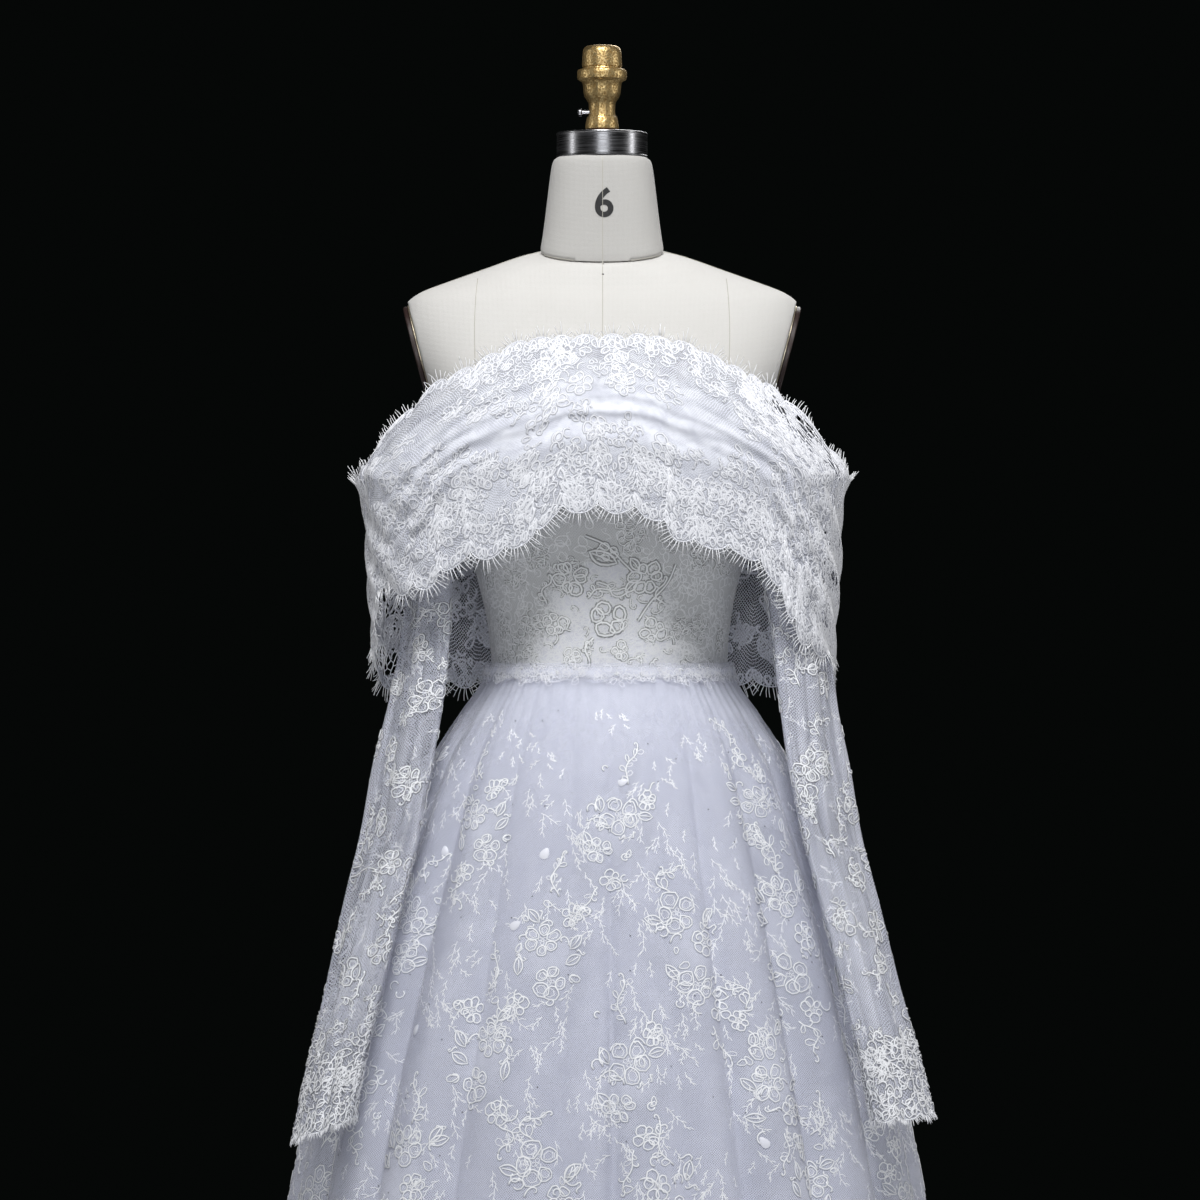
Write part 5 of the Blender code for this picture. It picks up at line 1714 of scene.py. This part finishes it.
fringes = {
    "front": [
        fringe_piece("cape_lashes_front", 1.0, -90, -1, 21, "cape_front_fringe"),
        fringe_piece("cape_lashes_top", 0.0, -90, 1, 22, "cape_top_fringe"),
    ],
    "back": [
        fringe_piece("cape_lashes_back", 1.0, 90, -1, 23, "cape_back_fringe"),
        fringe_piece("cape_lashes_top_back", 0.0, 90, 1, 24),
    ],
}
for side, first, node in (("front", -90, "cape_front"), ("back", 90, "cape_back")):
    sheet = cloth_sheet("cape_lace_" + side, cape, first, first + 180, NET_ZONES)
    finish_piece(sheet, "cape", GOWN, "lace", node)
    cords = finish_piece(cape_cords[side].mesh("cape_cording_" + side), "cape_cord", GOWN, "lace")

# ---------------------------------------------------------------- sleeves

for word, table in (("left", SLEEVE_LEFT), ("right", SLEEVE_RIGHT)):
    cloth = Cloth(lambda a, p, t=table: sleeve_points(t, a, p), 0.0, 11.0, 96, 110, -180.0)
    cloth.cover[:] = 0.10 * bell(cloth.v, 0, 1.0) + SLEEVE_COVER[word]
    cords = Cording(cloth)
    cords.scatter(TANGLES, -180, 180, 0.20, 1.1, 0.027)
    cords.scatter(FLOWERS, -180, 180, 0.9, 10.4, 0.072, sizes=(1.0, 1.5))
    cords.scatter(VINES, -180, 180, 0.6, 10.4, 0.054, sizes=(0.8, 1.2))
    cords.scatter(TWIGS, -180, 180, 0.6, 10.4, 0.030)
    edge_work(cords, 0.0, 1, -180, 180, -1, 0.0065, 0.0020, 31)
    tube = cloth_sheet("sleeve_lace_" + word, cloth, -180, 180)
    finish_piece(tube, "sleeve", GOWN, "lace", "sleeve_%s_upper" % word, "sleeve_%s_under" % word)
    cording = finish_piece(cords.mesh("sleeve_cording_" + word), "sleeve_cord", GOWN, "lace")

# ---------------------------------------------------------------- the dress form


def nothing_selected():
    if bpy.context.mode != "OBJECT":
        bpy.ops.object.mode_set(mode="OBJECT")
    bpy.ops.object.select_all(action="DESELECT")


def only(thing):
    nothing_selected()
    thing.select_set(True)
    bpy.context.view_layer.objects.active = thing
    return thing


def smooth_shading(thing, degrees=35):
    only(thing)
    bpy.ops.object.shade_smooth_by_angle(angle=math.radians(degrees))


def close_skin(thing):
    """Faces point outwards, and doubled points are one."""
    only(thing)
    bpy.ops.object.mode_set(mode="EDIT")
    bpy.ops.mesh.select_all(action="SELECT")
    bpy.ops.mesh.remove_doubles(threshold=0.00002)
    bpy.ops.mesh.normals_make_consistent(inside=False)
    bpy.ops.object.mode_set(mode="OBJECT")


def turned_piece(name, rings, sides):
    """A disc at the first height, drawn up ring by ring: rings of (height, radius)."""
    nothing_selected()
    height, radius = rings[0]
    bpy.ops.mesh.primitive_circle_add(
        vertices=sides, radius=radius, fill_type="NGON", location=(0, 0, height)
    )
    thing = bpy.context.active_object
    thing.name = thing.data.name = name
    bpy.ops.object.transform_apply(location=True, rotation=True, scale=True)
    bpy.ops.object.mode_set(mode="EDIT")
    bpy.ops.mesh.select_all(action="SELECT")
    for next_height, next_radius in rings[1:]:
        bpy.ops.mesh.extrude_region_move(
            TRANSFORM_OT_translate={"value": (0, 0, next_height - height)}
        )
        size = next_radius / radius
        bpy.ops.transform.resize(value=(size, size, 1), center_override=(0, 0, next_height))
        height, radius = next_height, next_radius
    bpy.ops.mesh.select_all(action="DESELECT")
    bpy.ops.object.mode_set(mode="OBJECT")
    close_skin(thing)
    smooth_shading(thing)
    return thing


def place_in_mesh(thing, matrix):
    thing.matrix_world = matrix
    only(thing)
    bpy.ops.object.transform_apply(location=True, rotation=True, scale=True)


def smooth_copy(name, node, levels, sharp_degrees):
    """A finer copy of a form's coarse solid, with its corners kept."""
    only(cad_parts[node])
    bpy.ops.object.duplicate()
    thing = bpy.context.active_object
    thing.name = thing.data.name = name
    thing.hide_render = False
    close_skin(thing)
    bpy.ops.object.mode_set(mode="EDIT")
    bpy.ops.mesh.select_all(action="SELECT")
    bpy.ops.mesh.tris_convert_to_quads(face_threshold=math.radians(40), shape_threshold=math.radians(60))
    bpy.ops.mesh.select_all(action="DESELECT")
    bpy.ops.mesh.select_mode(type="EDGE")
    bpy.ops.mesh.edges_select_sharp(sharpness=math.radians(sharp_degrees))
    bpy.ops.transform.edge_crease(value=0.9)
    bpy.ops.mesh.select_mode(type="VERT")
    bpy.ops.object.mode_set(mode="OBJECT")
    finer = thing.modifiers.new("Finer", "SUBSURF")
    finer.levels = finer.render_levels = levels
    bpy.ops.object.modifier_apply(modifier=finer.name)
    smooth_shading(thing, 50)
    return thing


torso = smooth_copy("linen_torso", "form_torso", 2, 42)
finish_piece(torso, "linen", GOWN, "linen", "form_torso")
neck = smooth_copy("linen_neck", "form_neck", 2, 42)
finish_piece(neck, "shaded_neck_linen", GOWN, "linen", "form_neck")


def skin_of(thing):
    mesh = thing.data
    return BVHTree.FromPolygons(
        [v.co.copy() for v in mesh.vertices], [tuple(p.vertices) for p in mesh.polygons]
    )


SKINS = [skin_of(torso), skin_of(neck)]


def cast(start, way):
    """The nearest place where a line from outside meets the form, and the way out there."""
    best = None
    for skin in SKINS:
        place, normal, _, distance = skin.ray_cast(Vector(start), Vector(way).normalized())
        if place is not None and (best is None or distance < best[2]):
            best = (place, normal, distance)
    return best


def form_line(name, starts, way, radius=0.0007, closed=False):
    """A sewn line on the form, cast onto it from outside."""
    points, normals = [], []
    for start in starts:
        towards = way(start) if callable(way) else way
        hit = cast(start, towards)
        if hit:
            points.append(hit[0])
            normals.append(hit[1] if hit[1].dot(Vector(towards)) < 0 else -hit[1])
    points, normals = np.array(points), np.array(normals)
    motif = Motif([(np.zeros((len(points), 2)), radius, closed)])
    rings = cord_rings(points - normals * radius * 0.9, normals, motif.radii, motif.before, motif.after)
    thing, _ = mesh_object(name, rings, [motif.quads] + ([motif.caps] if len(motif.caps) else []))
    finish_piece(thing, "seam", GOWN, "linen")


def inward(start):
    return (-start[0], -start[1], 0)


seam_heights = np.linspace(1.33, 1.568, 70)
form_line("seam_centre_front", [(0.0005, -0.4, z) for z in seam_heights], (0, 1, 0))
form_line("seam_centre_back", [(0.0, 0.4, z) for z in seam_heights], (0, -1, 0))
for word, side in (("left", 1), ("right", -1)):
    share = np.linspace(0, 1, 50)
    front = [
        (side * (0.118 + 0.004 * math.sin(3 * t)), -0.4, 1.330 + 0.135 * t) for t in share if 1.330 + 0.135 * t < 1.452
    ]
    form_line("seam_princess_front_" + word, front, (0, 1, 0))
    back = [(side * 0.112, 0.4, 1.33 + 0.135 * t) for t in share if 1.33 + 0.135 * t < 1.445]
    form_line("seam_princess_back_" + word, back, (0, -1, 0))
    top = [(side * (0.060 + 0.118 * t), 0.016 - 0.010 * t, 2.0) for t in share]
    form_line("seam_shoulder_" + word, top, (0, 0, -1))
neck_ring = [
    (0.3 * math.sin(a), -0.3 * math.cos(a), 1.4795 - 0.0127 * math.cos(a))
    for a in np.linspace(0, 2 * math.pi, 97)[:-1]
]
form_line("seam_neck", neck_ring, inward, 0.0009, True)

# The size of the form, printed on its neck
SIZE_MARK_SCALE = 0.0385
nothing_selected()
bpy.ops.object.text_add(location=(0, 0, 0))
size_mark = bpy.context.active_object
size_mark.name = "size_6"
size_mark.data.body = "6"
size_mark.data.offset = 0.022
size_mark.data.align_x = "CENTER"
bpy.ops.object.convert(target="MESH")
size_mark = bpy.context.active_object
bpy.ops.object.mode_set(mode="EDIT")
bpy.ops.mesh.select_all(action="SELECT")
bpy.ops.mesh.quads_convert_to_tris()
bpy.ops.mesh.subdivide(number_cuts=3)
bpy.ops.object.mode_set(mode="OBJECT")
marks = np.empty(len(size_mark.data.vertices) * 3)
size_mark.data.vertices.foreach_get("co", marks)
marks = marks.reshape(-1, 3)
middle = (marks.min(axis=0) + marks.max(axis=0)) / 2
for vertex in size_mark.data.vertices:
    x = (vertex.co.x - middle[0]) * SIZE_MARK_SCALE + 0.002
    z = (vertex.co.y - middle[1]) * SIZE_MARK_SCALE + 1.5245
    hit = cast((x, -0.4, z), (0, 1, 0))
    vertex.co = hit[0] + hit[1].normalized() * (0.0003 if hit[1].y < 0 else -0.0003)
size_mark.data.update()
finish_piece(size_mark, "ink", GOWN, "linen")

for number, z in enumerate((1.4650, 1.4545)):
    hit = cast((0.0008, -0.4, z), (0, 1, 0))
    head = ((0.0, 0.0011), (0.0004, 0.0010), (0.0007, 0.0006), (0.0008, 0.0002))
    pin = turned_piece("pin_%d" % (number + 1), head, 12)
    out = hit[1] if hit[1].y < 0 else -hit[1]
    turn = out.to_track_quat("Z", "Y").to_matrix().to_4x4()
    place_in_mesh(pin, Matrix.Translation(hit[0] - out * 0.0002) @ turn)
    finish_piece(pin, "iron", GOWN, "steel")

# ---------------------------------------------------------------- hard pieces

cap = turned_piece(
    "steel_neck_cap",
    (
        (1.5708, 0.0432),
        (1.5708, 0.0441),
        (1.5714, 0.0445),
        (1.5722, 0.0445),
        (1.5728, 0.0440),
        (1.5925, 0.0440),
        (1.5931, 0.0445),
        (1.5939, 0.0445),
        (1.5946, 0.0441),
        (1.5950, 0.0432),
        (1.5950, 0.0410),
        (1.5946, 0.0404),
        (1.5946, 0.0180),
        (1.5950, 0.0170),
    ),
    96,
)
finish_piece(cap, "steel", GOWN, "steel", "neck_cap")
washer = turned_piece(
    "fibre_washer", ((1.5953, 0.0150), (1.5956, 0.0156), (1.5977, 0.0156), (1.5980, 0.0150)), 64
)
finish_piece(washer, "fibre", GOWN, "fibre", "finial_washer")

FINIAL = (
    (1.5983, 0.0150),
    (1.5986, 0.0158),
    (1.5998, 0.0163),
    (1.6030, 0.0160),
    (1.6062, 0.0155),
    (1.6090, 0.0148),
    (1.6106, 0.0143),
    (1.6112, 0.0131),
    (1.6130, 0.0127),
    (1.6180, 0.0126),
    (1.6225, 0.0128),
    (1.6248, 0.0134),
    (1.6272, 0.0150),
    (1.6300, 0.0168),
    (1.6335, 0.0179),
    (1.6385, 0.0184),
    (1.6430, 0.0189),
    (1.6452, 0.0203),
    (1.6462, 0.0226),
    (1.6472, 0.0237),
    (1.6495, 0.0241),
    (1.6540, 0.0240),
    (1.6558, 0.0234),
    (1.6566, 0.0214),
    (1.6572, 0.0190),
    (1.6586, 0.0186),
    (1.6592, 0.0193),
    (1.6612, 0.0194),
    (1.6680, 0.0191),
    (1.6730, 0.0187),
    (1.6760, 0.0180),
    (1.6781, 0.0166),
    (1.6793, 0.0142),
    (1.6800, 0.0100),
    (1.6802, 0.0050),
    (1.6803, 0.0010),
)
finial = turned_piece("gold_finial", FINIAL, 72)
for vertex in finial.data.vertices:
    x, y, z = vertex.co
    if math.hypot(x, y) < 0.004:
        continue
    dents = math.sin(x * 900 + 2 * math.sin(z * 500)) * math.sin(z * 760 + 2 * math.sin(y * 640))
    ridge = math.exp(-(((math.degrees(math.atan2(x, -y)) + 14) / 2.2) ** 2))
    grow = 1 + (0.00022 * dents + 0.00035 * ridge) / math.hypot(x, y)
    vertex.co = (x * grow, y * grow, z)
nothing_selected()
bpy.ops.mesh.primitive_cylinder_add(
    vertices=32, radius=0.0026, depth=0.0200, location=(-0.0135, 0, 1.6150), rotation=(0, math.pi / 2, 0)
)
drill = bpy.context.active_object
bpy.ops.object.transform_apply(location=True, rotation=True, scale=True)
only(finial)
hole = finial.modifiers.new("Screw hole", "BOOLEAN")
hole.object = drill
hole.solver = "EXACT"
bpy.ops.object.modifier_apply(modifier=hole.name)
bpy.data.objects.remove(drill, do_unlink=True)
smooth_shading(finial, 50)
finish_piece(finial, "gold", GOWN, "gold", "finial")

screw = turned_piece(
    "steel_thumb_screw",
    (
        (0.0000, 0.0014),
        (0.0005, 0.0020),
        (0.0150, 0.0021),
        (0.0150, 0.0030),
        (0.0153, 0.0036),
        (0.0156, 0.0038),
        (0.0184, 0.0038),
        (0.0187, 0.0036),
        (0.0190, 0.0030),
        (0.0190, 0.0010),
    ),
    48,
)
for vertex in screw.data.vertices:
    radius = math.hypot(vertex.co.x, vertex.co.y)
    if radius > 0.0035:
        turn = round(math.degrees(math.atan2(vertex.co.y, vertex.co.x)) / 7.5)
        if turn % 2:
            vertex.co.x *= 0.93
            vertex.co.y *= 0.93
place_in_mesh(
    screw, Matrix.Translation((-0.0045, 0, 1.6150)) @ Matrix.Rotation(-math.pi / 2, 4, "Y")
)
finish_piece(screw, "steel", SCREW, "steel", "finial_screw")

ARMHOLE_TOP = (0.1885, 1.431)
ARMHOLE_SLOPE = 0.262
PLATE = (0.043, 0.047)
for word, side in (("left", 1), ("right", -1)):
    centre_z = ARMHOLE_TOP[1] - PLATE[1] - 0.002
    centre_x = ARMHOLE_TOP[0] - ARMHOLE_SLOPE * (ARMHOLE_TOP[1] - centre_z)
    normal = Vector((side, 0, -ARMHOLE_SLOPE)).normalized()
    across = Vector((0, 1, 0))
    turn = Matrix((across, normal.cross(across), normal)).transposed().to_4x4()
    centre = Vector((side * centre_x, 0.004, centre_z))
    stretch = Matrix.Diagonal((PLATE[0], PLATE[1], 1, 1))
    rim_size = Matrix.Diagonal((PLATE[0] + 0.0006, PLATE[1] + 0.0006, 1, 1))
    rim = turned_piece("brass_rim_" + word, ((0.0003, 0.990), (0.0006, 1.0), (0.0010, 1.0), (0.0013, 0.990)), 96)
    place_in_mesh(rim, Matrix.Translation(centre) @ turn @ rim_size)
    finish_piece(rim, "brass", GOWN, "brass", "arm_rim_" + word)
    plate = turned_piece(
        "arm_plate_" + word,
        (
            (0.0016, 0.985),
            (0.0021, 1.0),
            (0.0048, 1.0),
            (0.0057, 0.990),
            (0.0061, 0.965),
            (0.0061, 0.900),
            (0.0057, 0.885),
            (0.0057, 0.300),
            (0.0057, 0.050),
        ),
        96,
    )
    place_in_mesh(plate, Matrix.Translation(centre) @ turn @ stretch)
    finish_piece(plate, "plate", GOWN, "dark_plate", "arm_plate_" + word)

base = turned_piece(
    "iron_base",
    (
        (0.0000, 0.1870),
        (0.0006, 0.1888),
        (0.0020, 0.1900),
        (0.0088, 0.1900),
        (0.0108, 0.1880),
        (0.0125, 0.1830),
        (0.0140, 0.1770),
        (0.0158, 0.1200),
        (0.0180, 0.0520),
        (0.0190, 0.0320),
        (0.0205, 0.0290),
        (0.0275, 0.0265),
        (0.0292, 0.0245),
        (0.0300, 0.0220),
        (0.0300, 0.0060),
    ),
    96,
)
finish_piece(base, "iron", GOWN, "dark_iron", "stand_base")
pole = turned_piece(
    "steel_pole",
    ((0.0303, 0.0118), (0.0308, 0.0125), (0.4, 0.0125), (0.7792, 0.0125), (0.7797, 0.0120)),
    48,
)
finish_piece(pole, "pole", GOWN, "steel", "stand_pole")

# ---------------------------------------------------------------- floor, light and camera

nothing_selected()
bpy.ops.mesh.primitive_circle_add(vertices=96, radius=2.6, fill_type="NGON", location=(0, 0, -0.0005))
floor = bpy.context.active_object
floor.name = "floor"
floor_finish, _, _ = new_finish("pale_floor", (0.62, 0.62, 0.62), 0.7)
floor.data.materials.append(floor_finish)

world = bpy.data.worlds.new("Studio")
bpy.context.scene.world = world
world.use_nodes = True
world.node_tree.nodes["Background"].inputs["Color"].default_value = (0.0018, 0.0023, 0.0021, 1)
world.node_tree.nodes["Background"].inputs["Strength"].default_value = 1.0


def soft_light(name, place, aim, width, height, watts, colour=(1, 1, 1)):
    light = bpy.data.lights.new(name, "AREA")
    light.shape = "RECTANGLE"
    light.size, light.size_y = width, height
    light.energy = watts
    light.color = colour
    lamp = bpy.data.objects.new(name, light)
    lamp.location = place
    lamp.rotation_euler = (Vector(aim) - Vector(place)).to_track_quat("-Z", "Y").to_euler()
    bpy.context.scene.collection.objects.link(lamp)
    return lamp


soft_light("Key", (0.0, -1.60, 3.45), (0, 0, 1.30), 0.7, 0.7, 73)
soft_light("Front fill", (0.2, -4.8, 1.3), (0, 0, 0.9), 2.0, 2.0, 53, (0.95, 0.97, 1.0))
soft_light("Left side", (-2.6, -0.4, 1.8), (0, 0, 1.0), 0.4, 1.8, 13)
soft_light("Right side", (2.6, -0.4, 1.8), (0, 0, 1.0), 0.4, 1.8, 17)
soft_light("Back", (0.8, 2.8, 3.2), (0, 0, 1.1), 1.6, 1.6, 38)

camera_data = bpy.data.cameras.new("Camera")
camera_data.sensor_width = 36
camera_data.lens = 160.8
camera = bpy.data.objects.new("Camera", camera_data)
camera.location = (-0.002, -5.2, 1.142)
camera.rotation_euler = (math.radians(90), 0, 0)
bpy.context.scene.collection.objects.link(camera)
bpy.context.scene.camera = camera

bpy.context.scene.view_settings.view_transform = "Standard"
bpy.context.scene.view_settings.look = "None"

nothing_selected()
